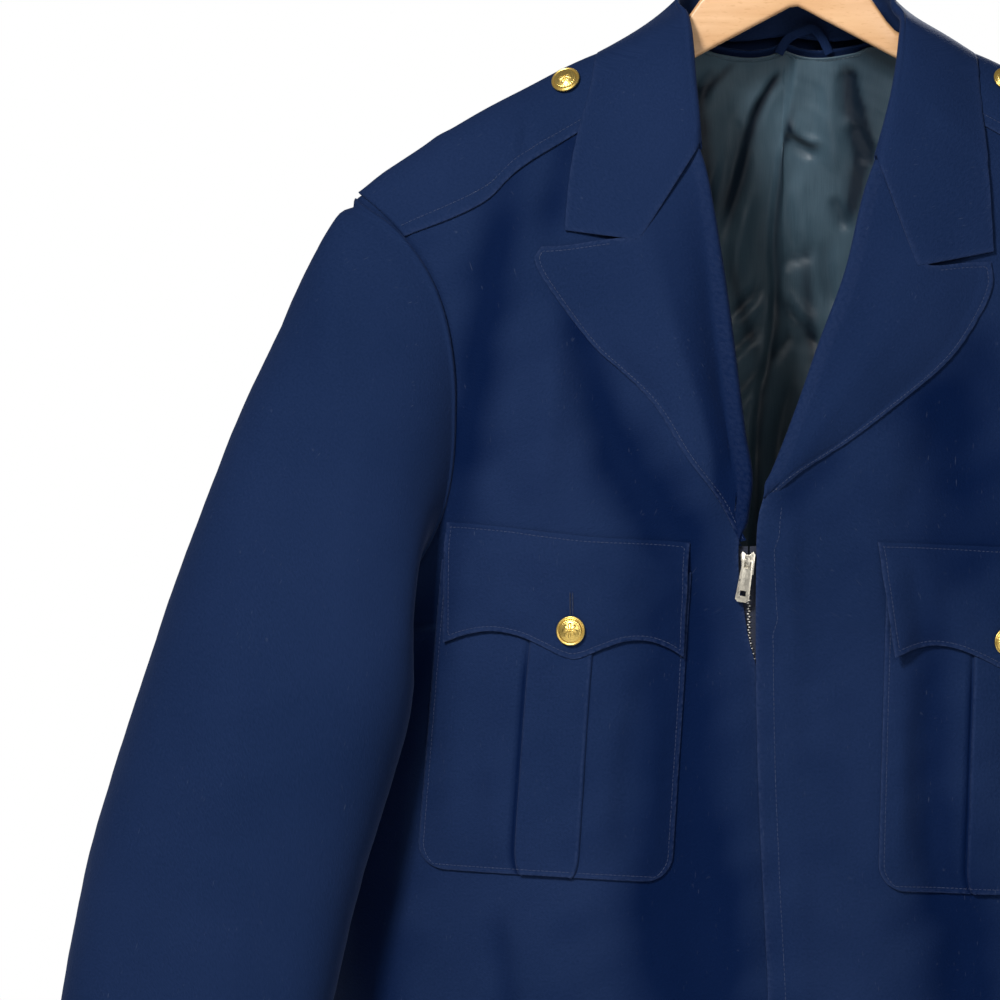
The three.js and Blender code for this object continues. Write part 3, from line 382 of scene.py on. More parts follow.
def front_normals(points: Points) -> Points:
    """Unit normals of a grid that lies on the front, turned outward."""
    normals = grid_normals(points, 1)
    return normals * np.sign(-normals[..., 1:2])


def stitch_run(outer: Points, start: int) -> Points:
    """Run of stitches down the first edge, along the last row and up the other edge."""
    row, right = len(outer) - 1 - STITCH_LINE, outer.shape[1] - 1 - STITCH_LINE
    return np.concatenate([outer[start:row, STITCH_LINE], outer[row, STITCH_LINE:right + 1],
                           outer[start:row, right][::-1]])


# --- meshes
def linked(name: str, data: bpy.types.ID) -> Piece:
    """Makes an object and links it to the scene.

    Args:
        name: Its name.
        data: Its mesh, light or camera.

    Returns:
        The object.
    """
    item = bpy.data.objects.new(name, data)
    bpy.context.scene.collection.objects.link(item)
    return item


def closed_mesh(name: str, build: bmesh.types.BMesh) -> bpy.types.Mesh:
    """Turns an edited mesh into a named one and frees it.

    Args:
        name: The mesh's name.
        build: The edited mesh.

    Returns:
        The mesh.
    """
    mesh = bpy.data.meshes.new(name)
    build.to_mesh(mesh)
    build.free()
    return mesh


def keep_values(mesh: bpy.types.Mesh, name: str, values: Points) -> None:
    """Stores a number for each point of a mesh, under the given name."""
    layer = mesh.attributes.new(name, "FLOAT", "POINT")
    layer.data.foreach_set("value", values.astype(np.float32))


def arc_uv(points: Points, closed: bool) -> tuple[Points, Points]:
    """Cloth coordinates of a grid in metres, along its rows and columns.

    Args:
        points: The grid in millimetres.
        closed: Whether a closing column is added.

    Returns:
        u and v; with closed, they have one more column than the grid.
    """
    loop = np.concatenate([points, points[:, :1]], axis=1) if closed else points
    du = np.linalg.norm(np.diff(loop, axis=1), axis=-1)
    dv = np.linalg.norm(np.diff(loop, axis=0), axis=-1)
    u = np.concatenate([np.zeros((len(loop), 1)), np.cumsum(du, axis=1)], axis=1)
    v = np.concatenate([np.zeros((1, loop.shape[1])), np.cumsum(dv, axis=0)], axis=0)
    middle = loop.shape[1] // 2
    return (u - u[:, middle:middle + 1]) * MM, v * MM


def quads_between(index: Points, follow: Points) -> Points:
    """Quads of the cells between a grid's lines of indices."""
    return np.stack([index[:-1], follow[:-1], follow[1:], index[1:]], axis=-1).reshape(-1, 4)


def shell(name: str, outer: Points, inner: Points, finish: "Finish",
          wear: Optional[Points] = None, closed: bool = False) -> Piece:
    """Makes a closed thin shell between two grids.

    Args:
        name: The piece's name.
        outer: The outer sheet, [row][column][xyz] in millimetres.
        inner: The inner sheet, of the same shape.
        finish: Its material.
        wear: How rubbed each outer point is, 0 to 1.
        closed: Whether the last column joins the first.

    Returns:
        The new object.
    """
    rows, cols = outer.shape[:2]
    count = rows * cols
    index = np.arange(count).reshape(rows, cols)
    wrapped = np.concatenate([index, index[:, :1]], axis=1) if closed else index
    place = np.arange(rows * wrapped.shape[1]).reshape(wrapped.shape)

    def both(grid: Points, step: int) -> Points:
        """Quads of both faces and of the rims between them.

        Args:
            grid: Indices of the outer face's points.
            step: How far on the inner face's indices are.

        Returns:
            Four indices for each quad.
        """
        face_out = quads_between(grid[:, :-1], grid[:, 1:])
        face_in = quads_between(grid[:, :-1] + step, grid[:, 1:] + step)[:, ::-1]
        parts = [face_out, face_in]
        for line, flip in ((grid[0], True), (grid[-1], False)):
            rim = np.stack([line[:-1], line[1:], line[1:] + step, line[:-1] + step], axis=-1)
            parts.append(rim[:, ::-1] if flip else rim)
        if not closed:
            for line, flip in ((grid[:, 0], False), (grid[:, -1], True)):
                rim = np.stack([line[:-1], line[1:], line[1:] + step, line[:-1] + step], axis=-1)
                parts.append(rim[:, ::-1] if flip else rim)
        return np.concatenate(parts)

    faces = both(wrapped, count)
    uv_faces = both(place, place.size)
    verts = np.concatenate([outer.reshape(-1, 3), inner.reshape(-1, 3)]) * MM
    a, b, c = verts[faces[:, 0]], verts[faces[:, 1]], verts[faces[:, 2]]
    d = verts[faces[:, 3]]
    volume = (np.einsum("ij,ij->i", a, np.cross(b, c)) + np.einsum("ij,ij->i", a, np.cross(c, d))).sum()
    if volume < 0:
        faces, uv_faces = faces[:, ::-1], uv_faces[:, ::-1]
    u, v = arc_uv(outer, closed)
    uv = np.tile(np.stack([u.ravel(), v.ravel()], axis=1), (2, 1))
    rubbed = np.zeros(2 * count)
    if wear is not None:
        rubbed[:count] = wear.ravel()
        rubbed[count:] = wear.ravel() * 0.5
    return quad_mesh(name, verts, faces, uv[uv_faces], rubbed, finish)


def quad_mesh(name: str, verts: Points, faces: Points, uv: Optional[Points],
              rubbed: Optional[Points], finish: "Finish") -> Piece:
    """Makes a smooth-shaded object from quads.

    Args:
        name: The piece's name.
        verts: Points in metres.
        faces: Four indices for each face.
        uv: Cloth coordinates for each face's corners.
        rubbed: The "wear" attribute for each point.
        finish: Its material.

    Returns:
        The new object, linked to the scene.
    """
    mesh = bpy.data.meshes.new(name)
    mesh.vertices.add(len(verts))
    mesh.vertices.foreach_set("co", np.ascontiguousarray(verts, dtype=np.float32).ravel())
    mesh.loops.add(faces.size)
    mesh.loops.foreach_set("vertex_index", np.ascontiguousarray(faces, dtype=np.int32).ravel())
    mesh.polygons.add(len(faces))
    mesh.polygons.foreach_set("loop_start", np.arange(0, faces.size, 4, dtype=np.int32))
    mesh.update(calc_edges=True)
    mesh.shade_smooth()
    if uv is not None:
        layer = mesh.uv_layers.new(name="cloth")
        layer.data.foreach_set("uv", np.ascontiguousarray(uv, dtype=np.float32).ravel())
    keep_values(mesh, "wear", np.zeros(len(verts)) if rubbed is None else rubbed)
    mesh.validate()
    item = linked(name, mesh)
    item.data.materials.append(finish.material())
    return item


def dressed(piece: Piece, nodes: Sequence[str],
            body: str = JACKET) -> Piece:
    """Puts a piece on its body and says which nodes it stands for.

    Args:
        piece: The finished piece.
        nodes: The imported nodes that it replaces; none for sewing.
        body: The body that it rides on.

    Returns:
        The piece.
    """
    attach(piece, body)
    if nodes:
        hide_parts(*nodes)
    LOG.info("%s: %d faces on %s, for %s", piece.name, len(piece.data.polygons), body,
             ", ".join(nodes) or "no node")
    return piece


def cloth(name: str, outer: Points, inner: Points, finish: "Finish", nodes: Sequence[str],
          wear: Optional[Points] = None, closed: bool = False,
          hollow: Optional[Points] = None) -> Piece:
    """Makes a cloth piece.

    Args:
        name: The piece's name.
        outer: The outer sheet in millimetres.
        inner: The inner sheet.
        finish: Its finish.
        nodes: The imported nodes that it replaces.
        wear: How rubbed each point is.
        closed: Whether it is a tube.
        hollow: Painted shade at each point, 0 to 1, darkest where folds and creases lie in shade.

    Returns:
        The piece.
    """
    piece = dressed(shell(name, outer, inner, finish, wear, closed), nodes)
    if hollow is not None:
        keep_values(piece.data, "hollow", np.clip(np.tile(hollow.ravel(), 2), 0, 1))
    middle = (outer + inner) / 2
    if closed:
        middle = np.concatenate([middle, middle[:, :1]], axis=1)
    return piece


# --- finishes
class Nodes:
    """Short way to build a material's node tree."""

    def __init__(self, name: str) -> None:
        """Starts a material with its output and a Principled shader.

        Args:
            name: The material's name.
        """
        self.item = bpy.data.materials.new(name)
        self.item.use_nodes = True
        self.tree = self.item.node_tree
        self.tree.nodes.clear()
        self.shader = self.tree.nodes.new("ShaderNodeBsdfPrincipled")
        output = self.tree.nodes.new("ShaderNodeOutputMaterial")
        self.join(self.shader.outputs["BSDF"], output.inputs["Surface"])

    def join(self, source: Socket, target: Socket) -> None:
        """Links an output to an input."""
        self.tree.links.new(source, target)

    def put(self, kind: str, **values: object) -> bpy.types.Node:
        """Adds a node.

        Args:
            kind: The node's type without "ShaderNode".
            values: Its settings, or numbers and sockets for its inputs; an input's
                name has underscores for spaces, and a number picks it by place.

        Returns:
            The node.
        """
        node = self.tree.nodes.new("ShaderNode" + kind)
        for key, value in values.items():
            if hasattr(node, key):
                setattr(node, key, value)
                continue
            label = key.replace("_", " ")
            socket = node.inputs[int(key[2:])] if key.startswith("in") else node.inputs[label]
            if isinstance(value, Socket):
                self.join(value, socket)
            else:
                socket.default_value = value
        return node

    def uv(self, scale: Sequence[float] = (1, 1, 1), turn: float = 0.0) -> Socket:
        """Cloth coordinates, scaled and turned in the cloth's plane."""
        source = self.put("UVMap", uv_map="cloth")
        mapping = self.put("Mapping", Vector=source.outputs["UV"], Rotation=(0, 0, turn), Scale=scale)
        return mapping.outputs["Vector"]

    def place(self, scale: Sequence[float] = (1, 1, 1)) -> Socket:
        """Object coordinates, scaled."""
        source = self.put("TexCoord")
        mapping = self.put("Mapping", Vector=source.outputs["Object"], Scale=scale)
        return mapping.outputs["Vector"]

    def noise(self, vector: Socket, scale: float, detail: float = 3.0) -> Socket:
        """Noise as a grey value."""
        node = self.put("TexNoise", Vector=vector, Scale=scale, Detail=detail)
        return node.outputs["Fac"]

    def ramp(self, fac: Socket, low: float, high: float,
             start: float = 0.0, end: float = 1.0) -> Socket:
        """Maps a value's range to another one, held within it."""
        node = self.put("MapRange", Value=fac, From_Min=low, From_Max=high, To_Min=start, To_Max=end)
        return node.outputs["Result"]

    def math(self, operation: str, a: object, b: object = 0.0) -> Socket:
        """One sum of two values or sockets."""
        return self.put("Math", operation=operation, in0=a, in1=b).outputs[0]

    def add(self, *parts: Socket) -> Socket:
        """Adds values up.

        Args:
            parts: The values' sockets.

        Returns:
            The sum's socket.
        """
        total = parts[0]
        for part in parts[1:]:
            total = self.math("ADD", total, part)
        return total

    def mix(self, fac: object, a: object, b: object) -> Socket:
        """Mixes two colours."""
        node = self.put("MixRGB", Fac=fac, Color1=a, Color2=b)
        return node.outputs["Color"]

    def wear(self) -> Socket:
        """How rubbed the surface is."""
        return self.put("Attribute", attribute_name="wear").outputs["Fac"]

    def hollow(self) -> Socket:
        """Painted shade from the piece's attribute, darkest in folds and creases."""
        return self.put("Attribute", attribute_name="hollow").outputs["Fac"]

    def set(self, **values: object) -> None:
        """Sets or links the shader's own sockets."""
        for key, value in values.items():
            socket = self.shader.inputs[key.replace("_", " ")]
            if isinstance(value, Socket):
                self.join(value, socket)
            else:
                socket.default_value = value

    def bump(self, height: Socket, strength: float, distance: float) -> None:
        """Gives the shader a bump from a height."""
        node = self.put("Bump", Height=height, Strength=strength, Distance=distance)
        self.join(node.outputs["Normal"], self.shader.inputs["Normal"])


Colour = tuple[float, float, float, float]


@dataclass(frozen=True)
class Finish:
    """A finish: its record slot and what its material is made of."""

    name: str
    slot: str

    def build(self, nodes: Nodes) -> None:
        """Fills the material's node tree."""
        raise NotImplementedError

    def material(self) -> bpy.types.Material:
        """Gives the finish's material, made on first use.

        Returns:
            The one material of that name.
        """
        found = bpy.data.materials.get(self.name)
        if found is None:
            nodes = Nodes(self.name)
            self.build(nodes)
            found = nodes.item
        return found


@dataclass(frozen=True)
class Wool(Finish):
    """Navy wool gabardine: steep twill, short nap, lint, rubbed edges and painted shade in its folds."""

    base: Colour = (0.0046, 0.0138, 0.05, 1)
    light: Colour = (0.0108, 0.0232, 0.073, 1)
    # Painted shade colour, mixed in where folds, creases and troughs lie in shade.
    deep: Colour = (0.0003, 0.0056, 0.035, 1)
    rubbed: Colour = (0.035, 0.052, 0.12, 1)
    lint: Colour = (0.12, 0.15, 0.22, 1)
    twill_pitch: float = 0.0009
    twill_turn: float = math.radians(58)

    def build(self, nodes: Nodes) -> None:
        """Fills the material's node tree.

        Args:
            nodes: The material's nodes.
        """
        cloth_uv = nodes.uv()
        twill_uv = nodes.uv(turn=self.twill_turn)
        wave_period = math.pi / 10
        twill = nodes.put("TexWave", Vector=twill_uv, Scale=wave_period / self.twill_pitch,
                          Distortion=1.4, Detail=2.0, Detail_Scale=2.0).outputs["Fac"]
        place = nodes.place()
        cloud = nodes.noise(place, 9.0, 4.0)
        nap = nodes.noise(cloth_uv, 700.0, 3.0)
        fleck = nodes.noise(cloth_uv, 260.0, 2.0)
        tone = nodes.add(nodes.ramp(cloud, 0.3, 0.7, 0.0, 0.42), nodes.ramp(nap, 0.3, 0.7, 0.0, 0.55),
                         nodes.ramp(twill, 0, 1, -0.02, 0.05))
        colour = nodes.mix(tone, self.base, self.light)
        fibres = nodes.uv((1, 0.09, 1), math.radians(24)), nodes.uv((1, 0.12, 1), math.radians(-52))
        fibre_a = nodes.ramp(nodes.noise(fibres[0], 1500.0, 1.0), 0.73, 0.82)
        fibre_b = nodes.ramp(nodes.noise(fibres[1], 1300.0, 1.0), 0.74, 0.82)
        specks = nodes.ramp(fleck, 0.7, 0.78, 0.0, 0.35)
        lint = nodes.add(fibre_a, fibre_b, specks)
        sparse = nodes.ramp(nodes.noise(place, 38.0, 2.0), 0.42, 0.7, 0.02, 0.4)
        # Painted shade: darker navy in folds, creases and troughs.
        colour = nodes.mix(nodes.hollow(), colour, self.deep)
        colour = nodes.mix(nodes.math("MULTIPLY", lint, sparse), colour, self.lint)
        patches = nodes.ramp(nodes.noise(cloth_uv, 420.0, 3.0), 0.35, 0.62)
        worn = nodes.math("MULTIPLY", nodes.wear(), patches)
        colour = nodes.mix(worn, colour, self.rubbed)
        nodes.set(Base_Color=colour, Roughness=0.74, Specular_IOR_Level=0.12,
                  Specular_Tint=(0.4, 0.62, 1, 1), Sheen_Weight=0.1, Sheen_Roughness=0.4,
                  Sheen_Tint=(0.4, 0.5, 0.85, 1))
        relief = nodes.add(nodes.ramp(twill, 0, 1, 0, 0.1), nodes.ramp(nap, 0.2, 0.8, 0, 0.9))
        nodes.bump(relief, 0.45, 0.0005)


@dataclass(frozen=True)
class Satin(Finish):
    """Slate lining satin with a fine warp, faint crossing slubs and painted shade in its folds."""

    base: Colour = (0.035, 0.066, 0.093, 1)
    light: Colour = (0.07, 0.119, 0.155, 1)
    # Painted shade colour for the lining's creases and folds.
    deep: Colour = (0.006, 0.014, 0.026, 1)
    warp: float = 1500.0

    def build(self, nodes: Nodes) -> None:
        """Fills the material's node tree.

        Args:
            nodes: The material's nodes.
        """
        warp = nodes.noise(nodes.uv((1, 0.04, 1)), self.warp, 2.0)
        slub = nodes.noise(nodes.uv((0.05, 1, 1)), self.warp * 0.6, 2.0)
        cloud = nodes.noise(nodes.place(), 14.0, 4.0)
        tone = nodes.add(nodes.ramp(cloud, 0.3, 0.7, 0.0, 0.7), nodes.ramp(warp, 0.3, 0.7, 0.0, 0.35))
        rough = nodes.add(nodes.ramp(slub, 0.3, 0.7, 0.0, 0.08),
                          nodes.ramp(cloud, 0.3, 0.7, 0.34, 0.44))
        # Painted shade: darker satin in its creases and folds.
        colour = nodes.mix(nodes.hollow(), nodes.mix(tone, self.base, self.light), self.deep)
        nodes.set(Base_Color=colour, Roughness=rough, Specular_IOR_Level=0.4, Sheen_Weight=0.12,
                  Sheen_Roughness=0.3, Anisotropic=0.4)
        nodes.bump(nodes.add(warp, slub), 0.16, 0.0002)


@dataclass(frozen=True)
class Thread(Finish):
    """Twisted sewing thread."""

    colour: Colour = (0.012, 0.024, 0.072, 1)
    light: Colour = (0.024, 0.04, 0.105, 1)

    def build(self, nodes: Nodes) -> None:
        """Fills the material's node tree.

        Args:
            nodes: The material's nodes.
        """
        place = nodes.place()
        twist = nodes.put("TexWave", Vector=place, Scale=500.0, Distortion=2.0).outputs["Fac"]
        cloud = nodes.noise(place, 160.0, 2.0)
        tone = nodes.add(nodes.ramp(twist, 0, 1, 0, 0.4), nodes.ramp(cloud, 0.35, 0.65, 0, 0.6))
        nodes.set(Base_Color=nodes.mix(tone, self.colour, self.light), Roughness=0.62,
                  Sheen_Weight=0.3, Sheen_Roughness=0.4)
        nodes.bump(twist, 0.4, 0.0001)


@dataclass(frozen=True)
class Tape(Finish):
    """Dark woven tape with fine ribs across it."""

    base: Colour = (0.004, 0.007, 0.02, 1)
    light: Colour = (0.014, 0.02, 0.045, 1)

    def build(self, nodes: Nodes) -> None:
        """Fills the material's node tree.

        Args:
            nodes: The material's nodes.
        """
        rib = nodes.put("TexWave", Vector=nodes.uv(), bands_direction="Y", Scale=330.0,
                        Distortion=0.6).outputs["Fac"]
        nap = nodes.noise(nodes.uv(), 1300.0, 2.0)
        tone = nodes.add(nodes.ramp(rib, 0, 1, 0, 0.5), nodes.ramp(nap, 0.3, 0.7, 0, 0.5))
        nodes.set(Base_Color=nodes.mix(tone, self.base, self.light), Roughness=0.82, Sheen_Weight=0.2)
        nodes.bump(nodes.add(rib, nap), 0.35, 0.0003)


@dataclass(frozen=True)
class Metal(Finish):
    """Metal with a hazy polish, fine scratches and dull hollows."""

    colour: Colour = (0.8, 0.74, 0.62, 1)
    dull: Colour = (0.45, 0.4, 0.32, 1)
    polish: float = 0.24
    haze: float = 0.16

    def build(self, nodes: Nodes) -> None:
        """Fills the material's node tree.

        Args:
            nodes: The material's nodes.
        """
        place = nodes.place()
        cloud = nodes.noise(place, 420.0, 4.0)
        scratch = nodes.noise(nodes.place((1, 0.08, 0.3)), 2400.0, 2.0)
        rough = nodes.add(nodes.ramp(cloud, 0.3, 0.7, self.polish, self.polish + self.haze),
                           nodes.ramp(scratch, 0.55, 0.75, 0.0, 0.12))
        tone = nodes.math("MAXIMUM", nodes.ramp(cloud, 0.5, 0.75, 0.0, 0.45), nodes.wear())
        nodes.set(Base_Color=nodes.mix(tone, self.colour, self.dull), Metallic=1.0, Roughness=rough)
        nodes.bump(nodes.add(cloud, scratch), 0.1, 0.00006)


@dataclass(frozen=True)
class Beech(Finish):
    """Pale beech under clear lacquer, the grain along the arms."""

    base: Colour = (0.86, 0.52, 0.27, 1)
    dark: Colour = (0.7, 0.37, 0.16, 1)

    def build(self, nodes: Nodes) -> None:
        """Fills the material's node tree.

        Args:
            nodes: The material's nodes.
        """
        long = nodes.place((0.12, 1, 1))
        grain = nodes.noise(long, 210.0, 6.0)
        bands = nodes.put("TexWave", Vector=nodes.place((0.25, 1, 1)), bands_direction="Z", Scale=16.0,
                          Distortion=5.0, Detail=3.0, Detail_Scale=1.2).outputs["Fac"]
        flecks = nodes.ramp(nodes.noise(nodes.place((0.2, 1, 1)), 1100.0, 1.0), 0.6, 0.72, 0.0, 0.5)
        tone = nodes.add(nodes.ramp(grain, 0.35, 0.7, 0.0, 0.5), nodes.ramp(bands, 0.2, 1, 0.0, 0.35), flecks)
        nodes.set(Base_Color=nodes.mix(tone, self.base, self.dark), Roughness=0.42,
                  Coat_Weight=0.35, Coat_Roughness=0.2)
        nodes.bump(grain, 0.1, 0.0002)


WOOL = Wool("navy_wool", "wool")
SATIN = Satin("lining_satin", "lining")
THREAD = Thread("navy_thread", "wool")
HOLE_THREAD = Thread("buttonhole_thread", "wool", (0.006, 0.012, 0.035, 1), (0.02, 0.032, 0.08, 1))
LINING_THREAD = Thread("lining_thread", "lining", (0.05, 0.075, 0.1, 1), (0.11, 0.15, 0.18, 1))
TAPE = Tape("zip_tape_weave", "zip_tape")
GILT = Metal("gilt", "gilt", (0.93, 0.62, 0.16, 1), (0.42, 0.22, 0.05, 1), 0.2, 0.16)
NICKEL = Metal("nickel", "zip_metal")
TEETH = Metal("zip_teeth_metal", "zip_metal", (0.6, 0.58, 0.55, 1), (0.22, 0.21, 0.2, 1), 0.3, 0.2)
STEEL = Metal("plated_wire", "steel", (0.78, 0.79, 0.8, 1), (0.5, 0.51, 0.52, 1), 0.16, 0.1)
WOOD = Beech("beech", "wood")


# --- the body's form
FOLDS = {
    Face.FRONT: (
        (-131, -205, 0.20, 95, 15, -2.0),
        (-95, -345, -0.45, 70, 19, -4.2), (-150, -345, 0.28, 60, 22, 2.6),
        (132, -230, -0.16, 95, 20, -3.2), (95, -350, 0.38, 70, 20, -3.4),
        (24, -600, 0.0, 210, 26, 4.0), (-120, -640, 0.04, 200, 30, 4.0),
        (-196, -640, 0.06, 150, 24, -5.0), (185, -670, -0.05, 110, 24, -4.0),
    ),
    Face.BACK: (
        (0, -430, 0.0, 240, 26, 3.2), (-118, -590, 0.10, 190, 26, -5.2),
        (112, -600, -0.12, 180, 28, -4.8), (-150, -300, -0.35, 90, 22, 3.6),
        (154, -310, 0.30, 90, 22, 3.4), (60, -660, 0.04, 120, 22, 4.0),
        (-55, -670, -0.06, 110, 24, 3.6),
    ),
}

CREASES = {
    Face.FRONT: crease_rows(
        (-46, -210, -26, -402, 9, -7, 2), (-72, -250, -44, -400, 11, 2.6, 3),
        (-132, -270, -139, -400, 12, 3, -4), (-168, -180, -186, -330, 10, 2, 4),
        (-117, -172, -134, -236, 8, -1.9), (-150, -214, -166, -262, 9, -2),
        (-134, -190, -150, -268, 7, 1.3, 5), (-176, -228, -172, -330, 11, -1.6, 6),
        (-126, -262, -140, -372, 10, 1.6, -6), (-168, -268, -180, -352, 9, 1.2, 5),
        (-102, -248, -82, -330, 9, -1.5, 4), (-88, -300, -58, -380, 8, -1.8, 4),
        (-74, -352, -40, -404, 7, 1.2, 4), (-170, -300, -140, -398, 10, -1.3, 6),
        (-46, -430, -36, -648, 11, -1.4, 7), (-30, -470, -32, -742, 8, 1.1, -5),
        (-2, -392, 8, -470, 9, 1.5, 3), (-10, -575, -7, -640, 5, -1.5, 2), (6, -560, 4, -700, 9, 1.3, 4),
        (24, -480, 22, -735, 12, -1.3, -6), (-156, -602, -148, -668, 8, -1.5, 4),
        (-136, -600, -122, -700, 9, 1.3, -5), (-182, -600, -186, -720, 10, 1.2, 4),
        (-104, -612, -84, -724, 12, -1.2, 6), (-70, -600, -62, -730, 10, 1, -4),
        (96, -600, 84, -716, 10, -1.3, 5), (132, -608, 144, -724, 10, 1.3, 4),
        (160, -606, 176, -716, 9, -1.2, 4), (64, -470, 56, -610, 11, 1.1, 6),
        (120, -176, 140, -250, 8, -1.5), (154, -214, 166, -276, 9, -1.4),
        (140, -196, 152, -286, 8, 1.1, -5), (110, -300, 132, -388, 10, 1.1, 5),
        (176, -240, 178, -340, 11, -1.3, -5), (86, -330, 62, -396, 8, -1.2, 4),
        (214, -470, 226, -640, 14, -1.5, 6), (-214, -480, -222, -650, 14, -1.6, -6),
        (40, -372, 54, -420, 7, 0.9, 3), (8, -382, 34, -362, 5, -0.8, 2),
    ),
    Face.BACK: crease_rows(
        (-200, -420, -120, -512, 11, -1.8, 8), (198, -430, 128, -520, 11, -1.7, -8),
        (-206, -470, -140, -560, 10, 1.2, 6), (204, -480, 150, -566, 10, 1.1, -6),
        (-60, -210, -82, -330, 13, -1.3, 6), (58, -214, 78, -340, 13, -1.2, -6),
        (-120, -196, -150, -270, 10, -1.4, 4), (122, -198, 152, -280, 10, -1.4, -4),
        (-20, -560, -26, -740, 12, -1.4, 6), (30, -520, 34, -700, 12, 1.2, -6),
        (-160, -600, -170, -740, 11, 1.3, 5), (150, -610, 164, -744, 11, -1.3, 5),
        (-88, -600, -92, -744, 10, -1.2, 4), (84, -640, 92, -744, 9, -1.1, 4),
        (-40, -170, 40, -172, 8, 1, 5), (-226, -560, -222, -730, 13, 1.3, 5),
        (224, -560, 220, -730, 13, 1.2, 5), (0, -250, 6, -420, 14, -0.9, 5),
    ),
}


# Troughs in the body's form; their depth also sets the painted shade in the wool's colour.
SHADED_TROUGHS = {
    Face.FRONT: crease_rows(
        (-149, -186, -186, -404, 13, -4.2), (-119, -255, -94, -360, 12, -4),
        (-100, -340, -54, -410, 18, -4.4), (-60, -380, -58, -640, 26, -5), (-54, -560, -42, -790, 33, -5),
        (-114, -160, -133, -240, 8, -3), (-8, -386, 32, -350, 9, -2.4), (58, -338, 122, -290, 22, -3.2),
        (98, -320, 96, -440, 30, -3.6), (77, -430, 80, -606, 13, -4), (94, -560, 98, -790, 25, -4.6),
        (-158, -600, -150, -670, 7, -1.8), (-228, -440, -222, -760, 16, -3),
        (178, -300, 190, -520, 18, -3.6), (150, -590, 158, -780, 20, -3.4),
        (-186, -400, -238, -640, 12, -3.8),
    ),
    Face.BACK: crease_rows(
        (-120, -420, -124, -760, 26, -4), (116, -440, 112, -770, 26, -4),
        (-196, -380, -128, -520, 15, -3.4), (194, -390, 130, -520, 15, -3.4),
        (-62, -170, -80, -340, 14, -2.2), (60, -176, 76, -340, 14, -2.2), (0, -520, 4, -770, 16, -2.6),
    ),
}
# Trough depth at which the painted shade is full.
FULL_SHADE_DEPTH = 4.0


class BodyForm:
    """The hanging body's outer form, which the leaves on it also follow."""

    neck_x = 97.0
    neck_z = -132.7
    shoulder_fall = 0.42
    shoulder_bow = 0.00107
    neck_bow = 0.0009
    side_power = 2.6
    side_set = 42.0
    side_set_run = 190.0
    rounding = {Face.FRONT: (300.0, 1.5, 0.58), Face.BACK: (200.0, 1.5, 0.55)}
    sections = Table(
        "z half front back",
        (-753, 262, 76, 74), (-650, 257, 75, 73), (-550, 251, 73, 72), (-450, 248, 72, 72),
        (-330, 259, 71, 73), (-213, 300, 70, 75), (-80, 320, 70, 76),
    )

    def ridge(self, x: Points) -> Points:
        """Height of the shoulder's ridge, and of its run on over the neck."""
        out = np.abs(x) - self.neck_x
        bow = np.where(out > 0, -self.shoulder_bow, self.neck_bow)
        return self.neck_z - self.shoulder_fall * out + bow * out * out

    def half(self, z: Points) -> Points:
        """Half the body's width at a height."""
        return self.sections.read("half", z)

    def relief(self, x: Points, z: Points, face: Face) -> Points:
        """Height of the folds, creases and waviness at each place.

        Args:
            x: Places across.
            z: Heights.
            face: The face.

        Returns:
            The height.
        """
        total = crease_sum(CREASES[face], x, z) + crease_sum(SHADED_TROUGHS[face], x, z)
        for x0, z0, lean, reach, width, rise in FOLDS[face]:
            down = z - z0
            share = np.clip(1 - (down / reach) ** 2, 0, 1)
            total = total + rise * bell(x - x0 - lean * down, width) * share**2
        seed = SEED if face is Face.FRONT else SEED + 1
        return total + 0.55 * ripple(x, z, 74.0, seed) + 0.16 * ripple(x, z, 21.0, seed + 10)

    def hollow(self, points: Points, face: Face) -> Points:
        """Painted shade at each point from the troughs' depth and a faint waviness, 0 to 1."""
        x, z = points[..., 0], points[..., 2]
        deep = -crease_sum(SHADED_TROUGHS[face], x, z) + 0.5 * ripple(x, z, 30.0, SEED + 70)
        return np.clip(deep / FULL_SHADE_DEPTH, 0, 1)

    def depth(self, x: Points, z: Points, face: Face) -> Points:
        """Depth of the outer face at x, z.

        Args:
            x: Places across.
            z: Heights.
            face: The face.

        Returns:
            y of the face.
        """
        q = np.minimum(np.abs(x) / self.half(z), 1.0)
        side = np.sqrt(1 - q**self.side_power)
        deep = self.sections.read("front" if face is Face.FRONT else "back", z)
        run, bend, power = self.rounding[face]
        fall = self.ridge(x) - z
        share = np.clip(fall / run, 0, 1)
        curve = (1 - (1 - share) ** bend) ** power
        back_set = self.side_set * q**3 * smooth(fall / self.side_set_run)
        return (face.value * (deep + self.relief(x, z, face)) * side + back_set) * curve

    def above(self, x: Points, z: Points, face: Face, lift: Points) -> Points:
        """Points over the body, lifted along its normal.

        Args:
            x: Places across.
            z: Heights.
            face: The face.
            lift: Height over the face.

        Returns:
            The points.
        """
        step = 0.5
        slope_x = (self.depth(x + step, z, face) - self.depth(x - step, z, face)) / (2 * step)
        slope_z = (self.depth(x, z + step, face) - self.depth(x, z - step, face)) / (2 * step)
        normal = unit(stack(-face.value * slope_x, face.value, -face.value * slope_z))
        return stack(x, self.depth(x, z, face), z) + normal * np.asarray(lift)[..., None]

    def on_front(self, x: Points, z: Points, lift: Points) -> Points:
        """Points over the front."""
        return self.above(x, z, Face.FRONT, lift)


FORM = BodyForm()
CLOTH = 1.8
LEAF = 1.3
LEAF_RIM = 0.06
LEAF_WEAR = 1.1
REST = 0.35
HEM_Z = -753.0
UNDERARM_Z = -450.0
HEM_SHARE = 0.45
CHEST_BEND = 1.6
HEIGHT = 620.0


